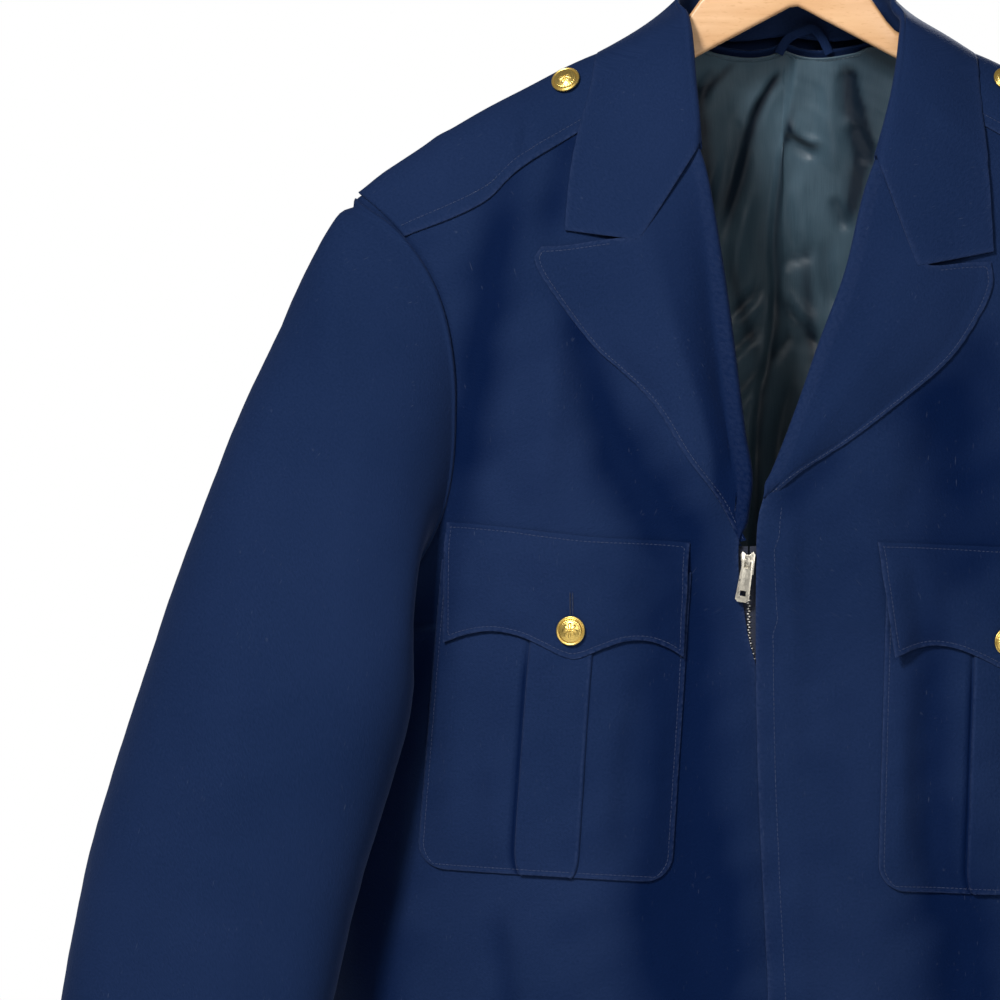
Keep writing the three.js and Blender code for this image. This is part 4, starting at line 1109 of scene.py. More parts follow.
class BodyGrid:
    """Grid over a body panel between its inner edge and its armhole and side seam."""

    level_passes = 12
    front_armhole = Table(
        "up x", (0.0, 248), (0.05, 229), (0.13, 206), (0.27, 187), (0.46, 182), (0.6, 185),
        (0.72, 194), (0.85, 211), (0.97, 232), (1.0, 236),
    )
    back_armhole = Table(
        "up x", (0.0, 248), (0.05, 236), (0.13, 221), (0.27, 206), (0.46, 199), (0.6, 201),
        (0.72, 208), (0.85, 220), (0.97, 234), (1.0, 236),
    )
    edge_right = Table(
        "z x", (-753, -9.6), (-640, -12.6), (-560, -16.2), (-500, -19.2), (-460, -21.6),
        (-437, -24.8), (-418, -27.5), (-402, -27.6), (-385, -26), (-365, -24), (-340, -28),
        (-297, -33.2), (-250, -39.4), (-204, -46.6), (-184, -52.3), (-161, -63), (-140, -73), (-125, -80),
    )
    edge_left = Table(
        "z x", (-753, -9), (-640, -12), (-520, -17.5), (-400, -18), (-378, -15), (-362, -6.5),
        (-327, 7.2), (-293, 19.2), (-253, 34), (-210, 44.6), (-184, 54.2), (-161, 64), (-140, 73), (-125, 80),
    )
    side_share = 0.9988
    up_share = {Face.FRONT: 0.9964, Face.BACK: 0.9985}
    nape_dip = 40.0
    under_fly = 3.2
    nape_start = 0.72
    nape_half = 80.0

    def edge(self, side: Side, z: Points) -> Points:
        """Inner edge of a front."""
        if side is Side.LEFT:
            return self.edge_left.read("x", z)
        return self.edge_right.read("x", z) + self.fly_cover(z)

    def fly_cover(self, z: Points) -> Points:
        """How far the right front and the zip run on under the left front's fly."""
        return self.under_fly * smooth((UNDERARM_Z - z) / 22)

    def seam_share(self, up: Points) -> Points:
        """How far out a panel runs: up to the side seam below the arm, to the armhole above."""
        return self.side_share + (0.99995 - self.side_share) * smooth((HEM_SHARE - 0.01 - up) / 0.04)

    def places(self, edge: Callable[[Points], Points], armhole: Table, side: Side,
               share: Points, up: Points) -> tuple[Points, Points]:
        """x and z of a panel's grid.

        Args:
            edge: The inner edge's x at a height.
            armhole: The panel's armhole.
            side: The wearer's side.
            share: 0 at the inner edge, 1 at the outer seam.
            up: 0 at the hem, 1 at the shoulder.

        Returns:
            x and z.
        """
        low = HEM_Z + (UNDERARM_Z - HEM_Z) * np.minimum(up / HEM_SHARE, 1)
        low_half = FORM.half(low)
        start = np.arcsin(edge(low) / low_half)
        low_x = low_half * np.sin(start + (side.value * math.pi / 2 - start) * share)
        rise = np.clip((up - HEM_SHARE) / (1 - HEM_SHARE), 0, 1)
        height = 1 - (1 - rise) ** CHEST_BEND
        level = np.full(np.broadcast(share, up).shape, UNDERARM_Z)
        for _ in range(self.level_passes):
            level = UNDERARM_Z + (FORM.ridge(edge(level)) - UNDERARM_Z) * height
        half = FORM.half(level)
        outer = side.value * armhole.read("x", height)
        start = np.arcsin(np.clip(edge(level) / half, -1, 1))
        end = np.arcsin(np.clip(outer / half, -1, 1))
        high_x = half * np.sin(start + (end - start) * share)
        high_z = UNDERARM_Z + (FORM.ridge(high_x) - UNDERARM_Z) * height
        under = up <= HEM_SHARE
        return np.where(under, low_x, high_x), np.where(under, low, high_z)

    def front(self, side: Side, c: Points, r: Points) -> Points:
        """Points of a front panel."""
        x, z = self.places(lambda at: self.edge(side, at), self.front_armhole, side,
                           c * self.seam_share(r * self.up_share[Face.FRONT]), r * self.up_share[Face.FRONT])
        return stack(x, FORM.depth(x, z, Face.FRONT), z)

    def back(self, c: Points, r: Points) -> Points:
        """Points of the back, from the left seam (0) over the spine to the right one (1).

        Args:
            c: 0 at the left seam, 1 at the right one.
            r: 0 at the hem, 1 at the shoulder.

        Returns:
            The points.
        """
        share = np.abs(c - 0.5) * 2 * self.seam_share(r * self.up_share[Face.BACK])
        x, z = self.places(lambda at: 0.0 * at, self.back_armhole, Side.LEFT, share,
                           r * self.up_share[Face.BACK])
        x = np.where(c < 0.5, x, -x)
        neck = smooth(1 - np.abs(x) / self.nape_half)
        z = z - self.nape_dip * neck * smooth((r - self.nape_start) / (1 - self.nape_start))
        return stack(x, FORM.depth(x, z, Face.BACK), z)


GRID = BodyGrid()


# --- fronts and back
@dataclass
class Panels:
    """The two fronts and the back."""

    columns: int = 92
    rows: int = 132
    seam_pinch: float = 1.0
    pinch_width: float = 2.4
    fly_rise: float = 1.3
    fly_width: float = 27.0
    fly_stitch: float = 11.0
    fly_top: float = -372.0
    tuck: float = 1.3
    hem_depth: float = 38.0
    wear_width: float = 1.5
    hems: list[Points] = field(default_factory=list)
    fly_line: Optional[Points] = None

    def rows_of(self, height: float) -> Points:
        """Lines from the hem to the shoulder."""
        return edged(height, self.rows, True, True)[0][:, None]

    def sheet(self, surface: Callable[[Points, Points], Points], side: float, free: str,
              sewn: str, relief: Callable[[Points], Points]) -> tuple[Points, Points, Points]:
        """Makes the two faces of a panel.

        Args:
            surface: The panel's form over c and r.
            side: Picks its outer side.
            free: Its turned edges.
            sewn: Its sewn edges.
            relief: Adds height at the points.

        Returns:
            Outer face, inner face and wear.
        """
        r = self.rows_of(HEIGHT)
        coarse = surface(np.linspace(0, 1, 40)[None], r)
        widths = np.linalg.norm(np.diff(coarse, axis=1), axis=-1).sum(1)
        points = surface(edged(widths, self.columns), r)
        normals = grid_normals(points, side)
        from_free = edge_distance(points, free)
        from_sewn = edge_distance(points, sewn)
        height = relief(points) - self.seam_pinch * bell(from_sewn, self.pinch_width)
        half = np.maximum(turned_edge(np.minimum(from_free, from_sewn), CLOTH), 0.12)
        middle = points + normals * (height - CLOTH / 2)[..., None]
        wear = np.exp(-from_free / self.wear_width) * 0.5
        half = half[..., None]
        return middle + normals * half, middle - normals * half, wear

    def hem_mark(self, points: Points) -> Points:
        """Faint line where the turned-up hem ends inside."""
        return -0.28 * bell(points[..., 2] - (HEM_Z + self.hem_depth), 1.6)

    def front(self, side: Side) -> Piece:
        """Makes one front; the left one's fly stands proud of the right one.

        Args:
            side: The wearer's side.

        Returns:
            The piece.
        """
        left = side is Side.LEFT

        def relief(points: Points) -> Points:
            """Height of the fly's fold and of the hem's mark.

            Args:
                points: The front's points.

            Returns:
                The height at each point.
            """
            z = points[..., 2]
            from_edge = np.abs(points[..., 0] - GRID.edge(side, z))
            lower = smooth((self.fly_top - z) / 22)
            if left:
                fly = self.fly_rise * smooth((self.fly_width - from_edge) / 9)
                fly = fly - 0.34 * bell(from_edge - self.fly_stitch, 0.9)
            else:
                fly = -self.tuck * smooth((13 - from_edge) / 12) * smooth((-428 - z) / 30)
            return fly * lower + self.hem_mark(points)

        outer, inner, wear = self.sheet(lambda c, r: GRID.front(side, c, r), side.value,
                                        "lb", "rt", relief)
        self.hems.append(self.hem_line(outer))
        if left:
            upper = outer[..., 0, 2] < self.fly_top - 6
            rows = outer[upper]
            x = GRID.edge(side, rows[:, 0, 2]) + self.fly_stitch
            line = [row[np.argmin(np.abs(row[:, 0] - at))] for row, at in zip(rows, x)]
            self.fly_line = np.array(line)
        # Painted shade from the body's troughs, mixed into the wool's colour.
        hollow = FORM.hollow(outer, Face.FRONT)
        return cloth(f"{side.word}_front_wool", outer, inner, WOOL, [f"front_{side.word}"],
                     wear, hollow=hollow)

    def hem_line(self, outer: Points) -> Points:
        """Run of the hem's stitches."""
        row = int(np.argmin(np.abs(outer[:, outer.shape[1] // 2, 2] - (HEM_Z + self.hem_depth))))
        return outer[row, 4:-4]

    def back(self) -> Piece:
        """Makes the back.

        Returns:
            The piece.
        """
        outer, inner, wear = self.sheet(GRID.back, 1, "b", "lrt", self.hem_mark)
        self.hems.append(self.hem_line(outer))
        # Painted shade from the body's troughs, mixed into the wool's colour.
        hollow = FORM.hollow(outer, Face.BACK)
        return cloth("back_wool", outer, inner, WOOL, ["back"], wear, hollow=hollow)


# --- sleeves
SLEEVE_CREASES = {
    Face.FRONT: crease_rows(
        (-243, -220, -230, -298, 6, 1.9, 3), (-231, -250, -229, -306, 5, -1.5, -4),
        (-214, -317, -184, -309, 7, -2.2), (-222, -332, -190, -330, 8, 1.2, 3),
        (-252, -250, -262, -340, 12, -1.5, -5), (-268, -290, -292, -420, 13, 1.5, 7),
        (-240, -352, -246, -470, 13, -1.8, 8), (-214, -360, -222, -450, 10, 1.4, 4),
        (-292, -400, -318, -530, 15, -1.4, -8), (-262, -452, -284, -580, 13, 1.5, 7),
        (-242, -470, -262, -590, 11, -1.9, 5), (-330, -500, -356, -640, 12, 1.3, 6),
        (-300, -560, -318, -690, 15, -1.5, -7), (-268, -600, -282, -720, 12, 1.3, 6),
        (-340, -660, -360, -800, 13, -1.3, 6), (-306, -700, -318, -816, 14, 1.2, -6),
        (-286, -720, -296, -820, 10, -1.2, 4), (-233, -506, -262, -520, 9, -1.4, 4),
        (-246, -548, -284, -556, 10, -1.1, 4),
    ),
    Face.BACK: crease_rows(
        (-236, -226, -246, -320, 11, -1.5, 6), (-262, -270, -286, -400, 13, 1.4, -7),
        (-226, -330, -240, -460, 12, -1.8, 7), (-290, -420, -318, -560, 14, -1.4, 7),
        (-262, -480, -292, -500, 9, -1.8, 5), (-270, -520, -318, -548, 10, -1.6, 5),
        (-276, -560, -320, -570, 9, 1.2, 4), (-280, -590, -300, -720, 13, 1.4, -6),
        (-330, -600, -352, -740, 13, -1.4, 6), (-300, -690, -318, -810, 13, 1.2, 6),
    ),
}
SLEEVE_RUBS = crease_rows(
    (-324, -408, -320, -440, 1.3, 0.8), (-334, -482, -349, -508, 1.5, 0.9),
    (-373, -532, -375, -556, 1.4, 0.8), (-243, -222, -231, -262, 1.7, 0.5),
    (-338, -560, -347, -596, 1.2, 0.5), (-290, -344, -296, -372, 1.2, 0.35),
)


@dataclass
class Sleeves:
    """The two set-in sleeves."""

    turns: int = 132
    rows: int = 150
    sections = Table(
        "z x y half depth tilt",
        (-832, 353.5, -38, 66, 30.5, 9), (-790, 347, -37, 67.5, 32, 9.5),
        (-740, 338.5, -35, 70, 34, 10.5), (-680, 328, -33, 73, 36, 12),
        (-630, 319, -32, 74.5, 37.5, 13.5), (-580, 308, -31, 75, 39, 16),
        (-530, 293, -30, 75, 39.5, 18), (-480, 277, -29, 74, 39, 20),
    )
    turn_map = Table(
        "turn share", (0, 0), (0.125, 0.12), (0.25, 0.25), (0.34, 0.38), (0.4, 0.49),
        (0.44, 0.57), (0.5, 0.72), (0.6, 0.79), (0.75, 0.87), (1, 1),
    )
    head = Table(
        "turn x y z start end",
        (0.0, 0.62, 0.0, -0.78, 34, 105), (0.12, 0.78, -0.2, -0.55, 44, 95),
        (0.25, 0.8, -0.35, -0.5, 46, 75), (0.33, 0.6, -0.75, -0.25, 34, 58),
        (0.4, 0.45, -0.88, -0.1, 26, 46), (0.44, 0.5, -0.85, 0.0, 26, 34),
        (0.5, 0.8, -0.55, 0.0, 16, 16), (0.6, 0.9, -0.3, -0.2, 24, 30),
        (0.75, 0.88, -0.05, -0.45, 46, 75), (0.88, 0.8, 0.12, -0.55, 44, 95),
        (1.0, 0.62, 0.0, -0.78, 34, 105),
    )
    folds = (
        (0.1, -275, 50, 0.06, 3.2), (0.2, -310, 60, 0.06, -3.4), (0.3, -350, 55, 0.06, 2.6),
        (0.05, -560, 170, 0.06, 2.2), (0.3, -520, 90, 0.07, -2.6), (0.2, -640, 120, 0.07, 2.4),
        (0.7, -560, 90, 0.07, -3.0), (0.8, -660, 110, 0.07, 2.8),
    )
    yaw: float = math.radians(18)
    power: float = 2.25
    seam: float = 0.75
    head_share: float = 0.36
    foot_z: float = -480.0
    cuff_z: float = -832.0
    calm: float = 0.12
    cuff_hem: float = 34.0
    head_roll: float = 5.4
    head_turn: float = 0.11
    head_at: float = 6.0
    head_reach: float = 8.0
    turn_step: float = 0.03
    seam_pinch: float = 0.9
    pinch_width: float = 2.6
    tuck_rows = ((2.6, 7), (2.4, 2), (1.4, -0.1))
    crease_drop = {Side.RIGHT: 0.0, Side.LEFT: 13.0}
    crease_gain = {Side.RIGHT: 1.0, Side.LEFT: 0.9}
    cuffs: list[Points] = field(default_factory=list)
    tucks: list[Points] = field(default_factory=list)

    def panel(self, side: Side, up: Points, front: bool) -> Points:
        """Armhole edge of the front or the back panel.

        Args:
            side: The wearer's side.
            up: 0 at the hem, 1 at the shoulder.
            front: Whether the front panel is meant.

        Returns:
            The points.
        """
        if front:
            return GRID.front(side, np.ones_like(up), up)
        end = 0.0 if side is Side.LEFT else 1.0
        return GRID.back(np.full_like(up, end), up)

    def panel_normal(self, side: Side, up: Points, front: bool) -> Points:
        """Outer normal of the panel at its armhole.

        Args:
            side: The wearer's side.
            up: 0 at the hem, 1 at the shoulder.
            front: Whether the front panel is meant.

        Returns:
            The unit normals.
        """
        e = 1e-3
        low, high = np.maximum(up - e, 0), np.minimum(up + e, 1)
        rise = self.panel(side, high, front) - self.panel(side, low, front)
        if front:
            across = self.panel(side, up, True) - GRID.front(side, np.full_like(up, 1 - e), up)
            return unit(np.cross(across, rise)) * side.value
        end, near = (0.0, e) if side is Side.LEFT else (1.0, 1 - e)
        across = GRID.back(np.full_like(up, near), up) - GRID.back(np.full_like(up, end), up)
        return unit(np.cross(across, rise)) * side.value

    def loop(self, side: Side, turn: Points) -> tuple[Points, Points]:
        """Armhole points and the panels' normals there.

        Args:
            side: The wearer's side.
            turn: Places round the sleeve, 0 to 1.

        Returns:
            The points and the unit normals.
        """
        down = np.where(turn <= 0.5, turn * 2, 2 - turn * 2)
        up = HEM_SHARE + (1 - HEM_SHARE) * (1 + np.cos(math.pi * down)) / 2
        front = (turn <= 0.5)[..., None]
        at = np.where(front, self.panel(side, up, True), self.panel(side, up, False))
        normal = np.where(front, self.panel_normal(side, up, True), self.panel_normal(side, up, False))
        top = bell(np.minimum(turn, 1 - turn), 0.035)[..., None]
        bottom = bell(turn - 0.5, 0.035)[..., None]
        normal = normal * (1 - top) + np.array([side.value * 0.5, 0, 0.87]) * top
        normal = normal * (1 - bottom) + np.array([side.value, 0, 0]) * bottom
        return at, unit(normal)

    def section(self, side: Side, z: Points, turn: Points) -> Points:
        """Points of the sleeve's section at a height.

        Args:
            side: The wearer's side.
            z: The height.
            turn: Places round the sleeve, 0 to 1.

        Returns:
            The points.
        """
        angle = math.pi * (1 - 2 * self.turn_map.read("share", turn))
        cos, sin = np.cos(angle), np.sin(angle)
        u = np.sign(cos) * np.abs(cos) ** (2 / self.power) * self.sections.read("half", z)
        v = -np.sign(sin) * np.abs(sin) ** (2 / self.power) * self.sections.read("depth", z)
        tilt = np.radians(self.sections.read("tilt", z))
        cy, sy = math.cos(self.yaw), math.sin(self.yaw)
        x = -self.sections.read("x", z) + u * np.cos(tilt) * cy + v * np.cos(tilt) * sy
        y = self.sections.read("y", z) - u * sy + v * cy
        up = z - u * np.sin(tilt) * cy - v * np.sin(tilt) * sy
        return stack(-x * side.value, y, up)

    def surface(self, side: Side, turn: Points, r: Points) -> Points:
        """Points of the sleeve; r runs from the armhole to the cuff.

        Args:
            side: The wearer's side.
            turn: Places round the sleeve, 0 to 1.
            r: 0 at the armhole, 1 at the cuff.

        Returns:
            The points, [row][turn][xyz].
        """
        at, normal = self.loop(side, turn)
        ahead, _ = self.loop(side, (turn + self.turn_step) % 1)
        behind, _ = self.loop(side, (turn - self.turn_step) % 1)
        away = unit(np.cross(unit(ahead - behind), normal)) * -side.value
        start = at + away * self.seam
        way = unit(self.head.points("x y z", turn, side.value))
        foot = self.section(side, np.full_like(turn, self.foot_z), turn)
        tilt = math.radians(float(self.sections.read("tilt", self.foot_z)))
        down = np.array([side.value * math.sin(tilt), 0, -math.cos(tilt)])
        p1 = start + way * self.head.read("start", turn)[..., None]
        p2 = foot - down * self.head.read("end", turn)[..., None]
        rows = []
        for share in r:
            if share < self.head_share:
                t = share / self.head_share
                rows.append((1 - t) ** 3 * start + 3 * (1 - t) ** 2 * t * p1
                            + 3 * (1 - t) * t**2 * p2 + t**3 * foot)
            else:
                past = share - self.head_share
                z = self.foot_z + (self.cuff_z - self.foot_z) * past / (1 - self.head_share)
                rows.append(self.section(side, np.full_like(turn, z), turn))
        grid = np.array(rows)
        self.tucks = [start - normal * sunk - away * back for sunk, back in self.tuck_rows]
        return self.eased(grid, r)

    def eased(self, grid: Points, r: Points) -> Points:
        """Evens out the change from the head to the arm.

        Args:
            grid: The sleeve's points, which are changed.
            r: The rows' places.

        Returns:
            The same grid.
        """
        passes = 26
        near = bell(r - self.head_share, 0.12)[1:-1, None, None]
        for _ in range(passes):
            mean = (grid[:-2] + grid[2:]) / 2
            grid[1:-1] += (mean - grid[1:-1]) * 0.5 * near
        return grid

    def relief(self, side: Side, points: Points, normals: Points, turn: Points, r: Points) -> Points:
        """Folds and creases of the sleeve.

        Args:
            side: The wearer's side.
            points: The sleeve's points.
            normals: Their normals.
            turn: Places round the sleeve, 0 to 1.
            r: 0 at the armhole, 1 at the cuff.

        Returns:
            The height at each point.
        """
        z = points[..., 2]
        total = np.zeros(z.shape)
        for place, level, reach, width, rise in self.folds:
            share = np.clip(1 - ((z - level) / reach) ** 2, 0, 1)
            total += rise * bell(turn[None] - place, width) * share**2
        x = -np.abs(points[..., 0])
        for face in Face:
            facing = smooth(normals[..., 1] * face.value * 2.2)
            creases = crease_sum(SLEEVE_CREASES[face], x, z + self.crease_drop[side])
            total += self.crease_gain[side] * facing * creases
        head = bell(np.minimum(turn, 1 - turn), self.head_turn)[None]
        head = head * bell(r * HEIGHT - self.head_at, self.head_reach)[:, None]
        seed = SEED + 3 + side.value
        total += 0.5 * ripple(points[..., 0] + points[..., 1], z, 66.0, seed)
        total += 0.15 * ripple(points[..., 0] - points[..., 1], z, 19.0, seed + 5)
        return total * smooth(r / self.calm)[:, None] + self.head_roll * head

    def build(self, side: Side) -> Piece:
        """Makes one sleeve, whose first rows are tucked into the armhole.

        Args:
            side: The wearer's side.

        Returns:
            The piece.
        """
        turn = np.arange(self.turns) / self.turns
        near = np.array([0, 0.6, 1.4, 2.4, 3.6, 5.0, 7.0]) / HEIGHT
        cuff = 1 - np.array(EDGE_LINES)[::-1] / HEIGHT
        r = np.concatenate([near, np.linspace(near[-1], cuff[0], self.rows)[1:-1], cuff])
        form = self.surface(side, turn, r)
        normals = grid_normals(form, -side.value, True)
        relief = self.relief(side, form, normals, turn, r)
        from_seam = r[:, None] * HEIGHT
        relief = relief - self.seam_pinch * bell(from_seam, self.pinch_width)
        middle = form + normals * (relief - CLOTH / 2)[..., None]
        middle = np.concatenate([np.array(self.tucks) - normals[:1] * 0, middle])
        normals = grid_normals(middle, -side.value, True)
        from_cuff = np.concatenate([np.full(len(self.tucks), HEIGHT), (1 - r) * HEIGHT])
        half = np.maximum(turned_edge(from_cuff, CLOTH), 0.1)[:, None, None]
        mark = -0.25 * bell(from_cuff - self.cuff_hem, 1.4)[:, None, None]
        outer, inner = middle + normals * (half + mark), middle - normals * (half - mark)
        wear = np.exp(-from_cuff / 1.6)[:, None] * 0.6 + np.zeros(outer.shape[:2])
        if side is Side.RIGHT:
            rubs = crease_sum(SLEEVE_RUBS, outer[..., 0], outer[..., 2])
            wear = np.clip(wear + rubs * smooth(-normals[..., 1] * 2 + 0.6), 0, 1)
        row = int(np.argmin(np.abs(from_cuff - self.cuff_hem)))
        self.cuffs.append(np.concatenate([outer[row], outer[row, :1]]))
        return cloth(f"{side.word}_sleeve_wool", outer, inner, WOOL, [f"sleeve_{side.word}"], wear, True)


# --- lapels
GORGE_DROP = {Side.RIGHT: 31.0, Side.LEFT: 42.0}
GORGE_PLACE = {Side.RIGHT: 0.45, Side.LEFT: 0.34}
GORGE_REACH = 0.26
GORGE_SHARE = 0.36
GORGE_CLIMB = 55.0


@dataclass
class Lapels:
    """The two lapels, whose leaves wrap the fronts' edges."""

    rows: int = 108
    columns: int = 46
    puff: float = 2.6
    climb_start: float = 0.35
    roll: float = 1.5
    sunk: float = 1.7
    emerge_share: float = 0.07
    # Softness, and strength on each side, of the painted shade along the roll line.
    roll_shade_ease: float = 7.0
    roll_shade_gain = {Side.RIGHT: 1.0, Side.LEFT: 0.15}
    under_collar = {Side.RIGHT: 4.5, Side.LEFT: 7.0}
    notch_rise = {Side.RIGHT: 4.0, Side.LEFT: -3.0}
    free = {
        Side.RIGHT: Table("z free", (-402, -26), (-377, -39), (-355, -55), (-331, -69), (-316, -81.3),
                          (-293, -106.3), (-264, -128.5), (-247, -137.5), (-240, -134)),
        Side.LEFT: Table("z free", (-376, -10), (-362, 6), (-345, 33), (-322, 63), (-303, 85),
                         (-285, 99), (-262, 110.5), (-248, 110)),
    }
    # Painted shade along the roll line: its width and strength by height, strongest low down.
    strip = Table("z width deep", (-404, 16, 1.0), (-380, 22, 1.0), (-348, 20, 0.8), (-300, 25, 0.45),
                  (-255, 30, 0.2), (-225, 32, 0.0))
    wrap = ((-12, -3.9), (-5, -3.9), (0.2, -3.8), (2.3, -2.6), (3.0, -0.6), (2.0, 1.4))
    stitches: list[Points] = field(default_factory=list)

    def build(self, side: Side) -> Piece:
        """Makes one lapel.

        Args:
            side: The wearer's side.

        Returns:
            The piece.
        """
        table = self.free[side]
        low, high = table.key[0], table.key[-1]
        r = edged(high - low, self.rows, False, True)[0]
        base = low + (high - low) * r
        climb = GORGE_CLIMB * smooth((r - self.climb_start) / (1 - self.climb_start))
        roll_z = base + climb
        roll_x = GRID.edge(side, roll_z)
        free = table.read("free", base)
        width = np.abs(free - roll_x)
        begin = 4.0 / np.maximum(width, 8.0)
        span = (1 - begin) * width
        c = begin[:, None] + (1 - begin)[:, None] * edged(span, self.columns, False, True)
        leaf = self.leaf(side, c, roll_x, free, base, climb, width, r)
        wraps = []
        for past, lift in self.wrap:
            over = np.minimum(past, width * 0.5) * self.emerge(r)
            wraps.append(FORM.on_front(roll_x - side.value * over, roll_z, np.full_like(roll_z, lift)))
        controls = np.array([*wraps, leaf[:, 0], leaf[:, 3]])
        t = np.linspace(0, (len(controls) - 2) / (len(controls) - 1), 22)[:-1]
        turn_in = spline(controls, t).transpose(1, 0, 2)
        middle = np.concatenate([turn_in, leaf], axis=1)
        normals = grid_normals(middle, -side.value)
        distance = edge_distance(middle, "rt")
        half = np.maximum(turned_edge(distance, LEAF), LEAF_RIM) * (0.15 + 0.85 * self.emerge(r))[:, None]
        relief = stitch_groove(distance) * self.emerge(r)[:, None]
        relief[:, :turn_in.shape[1]] *= 0.2
        outer_side = self.outward(middle, normals)
        outer = middle + normals * outer_side * (half + relief)[..., None]
        inner = middle - normals * outer_side * half[..., None]
        wear = edge_wear(outer, "rt", LEAF_WEAR, 0.6)
        wear[:, :turn_in.shape[1]] = 0.12
        self.keep_stitches(outer)
        # Painted shade on the strip beside the roll line, darker lower down.
        from_roll = np.abs(outer[..., 0] - roll_x[:, None])
        strip = self.strip.read("width", base)[:, None]
        hollow = smooth((strip - from_roll) / self.roll_shade_ease) * self.strip.read("deep", base)[:, None]
        hollow = hollow * self.roll_shade_gain[side]
        return cloth(f"{side.word}_lapel_wool", outer, inner, WOOL, [f"lapel_{side.word}"],
                     wear, hollow=hollow)

    def leaf(self, side: Side, c: Points, roll_x: Points, free: Points, base: Points,
             climb: Points, width: Points, r: Points) -> Points:
        """Middle of the leaf that lies on the front.

        Args:
            side: The wearer's side.
            c: Places across the sheet, 0 to 1.
            roll_x: x of the roll line at each row.
            free: x of the free edge.
            base: Height of each row at the free edge.
            climb: How far it rises to the roll line.
            width: The leaf's width.
            r: Places along it, 0 to 1.

        Returns:
            The points.
        """
        x = roll_x[:, None] + (free - roll_x)[:, None] * c
        z = base[:, None] + climb[:, None] * np.maximum(0, 1 - c / GORGE_SHARE)
        top = smooth((r - 0.6) / 0.4)[:, None]
        z = z + top * (self.under_collar[side] * smooth((GORGE_SHARE + 0.08 - c) / 0.2)
                       + self.notch_rise[side] * bell(c - GORGE_SHARE - 0.08, 0.3))
        gain = smooth(r * 3)[:, None]
        puff = self.puff * np.sin(math.pi * np.minimum(c * 1.15, 1)) * gain
        bend = 0.9 * bell((c - 0.33) * width[:, None], 7) * gain
        calm = (1 - 0.9 * smooth((r - 0.72) / 0.2))[:, None]
        roll = self.roll * np.exp(-c * width[:, None] / 7) * gain * calm
        wave = 0.45 * ripple(x, z, 42.0, SEED + 21 + side.value)
        start = self.sunk * (1 - self.emerge(r))[:, None]
        return FORM.on_front(x, z, REST + LEAF / 2 + puff + bend + roll + wave * gain - start)

    def emerge(self, r: Points) -> Points:
        """How far the leaf has come out of the front's edge."""
        return smooth(r / self.emerge_share)

    def outward(self, middle: Points, normals: Points) -> float:
        """Sign that turns the normals of the leaf to the front."""
        return 1.0 if normals[len(middle) // 2, -8, 1] < 0 else -1.0

    def keep_stitches(self, outer: Points) -> None:
        """Notes the run of the edge's stitches: up the free edge and along the notch.

        Args:
            outer: The outer face.
        """
        first = int(len(outer) * 0.03)
        turn = len(outer) - 1 - STITCH_LINE
        column = outer.shape[1] - 1 - STITCH_LINE
        up = outer[first:turn + 1, column]
        start = int(outer.shape[1] * 0.62)
        top = outer[turn, start:column][::-1]
        self.stitches.append(np.concatenate([up, top]))


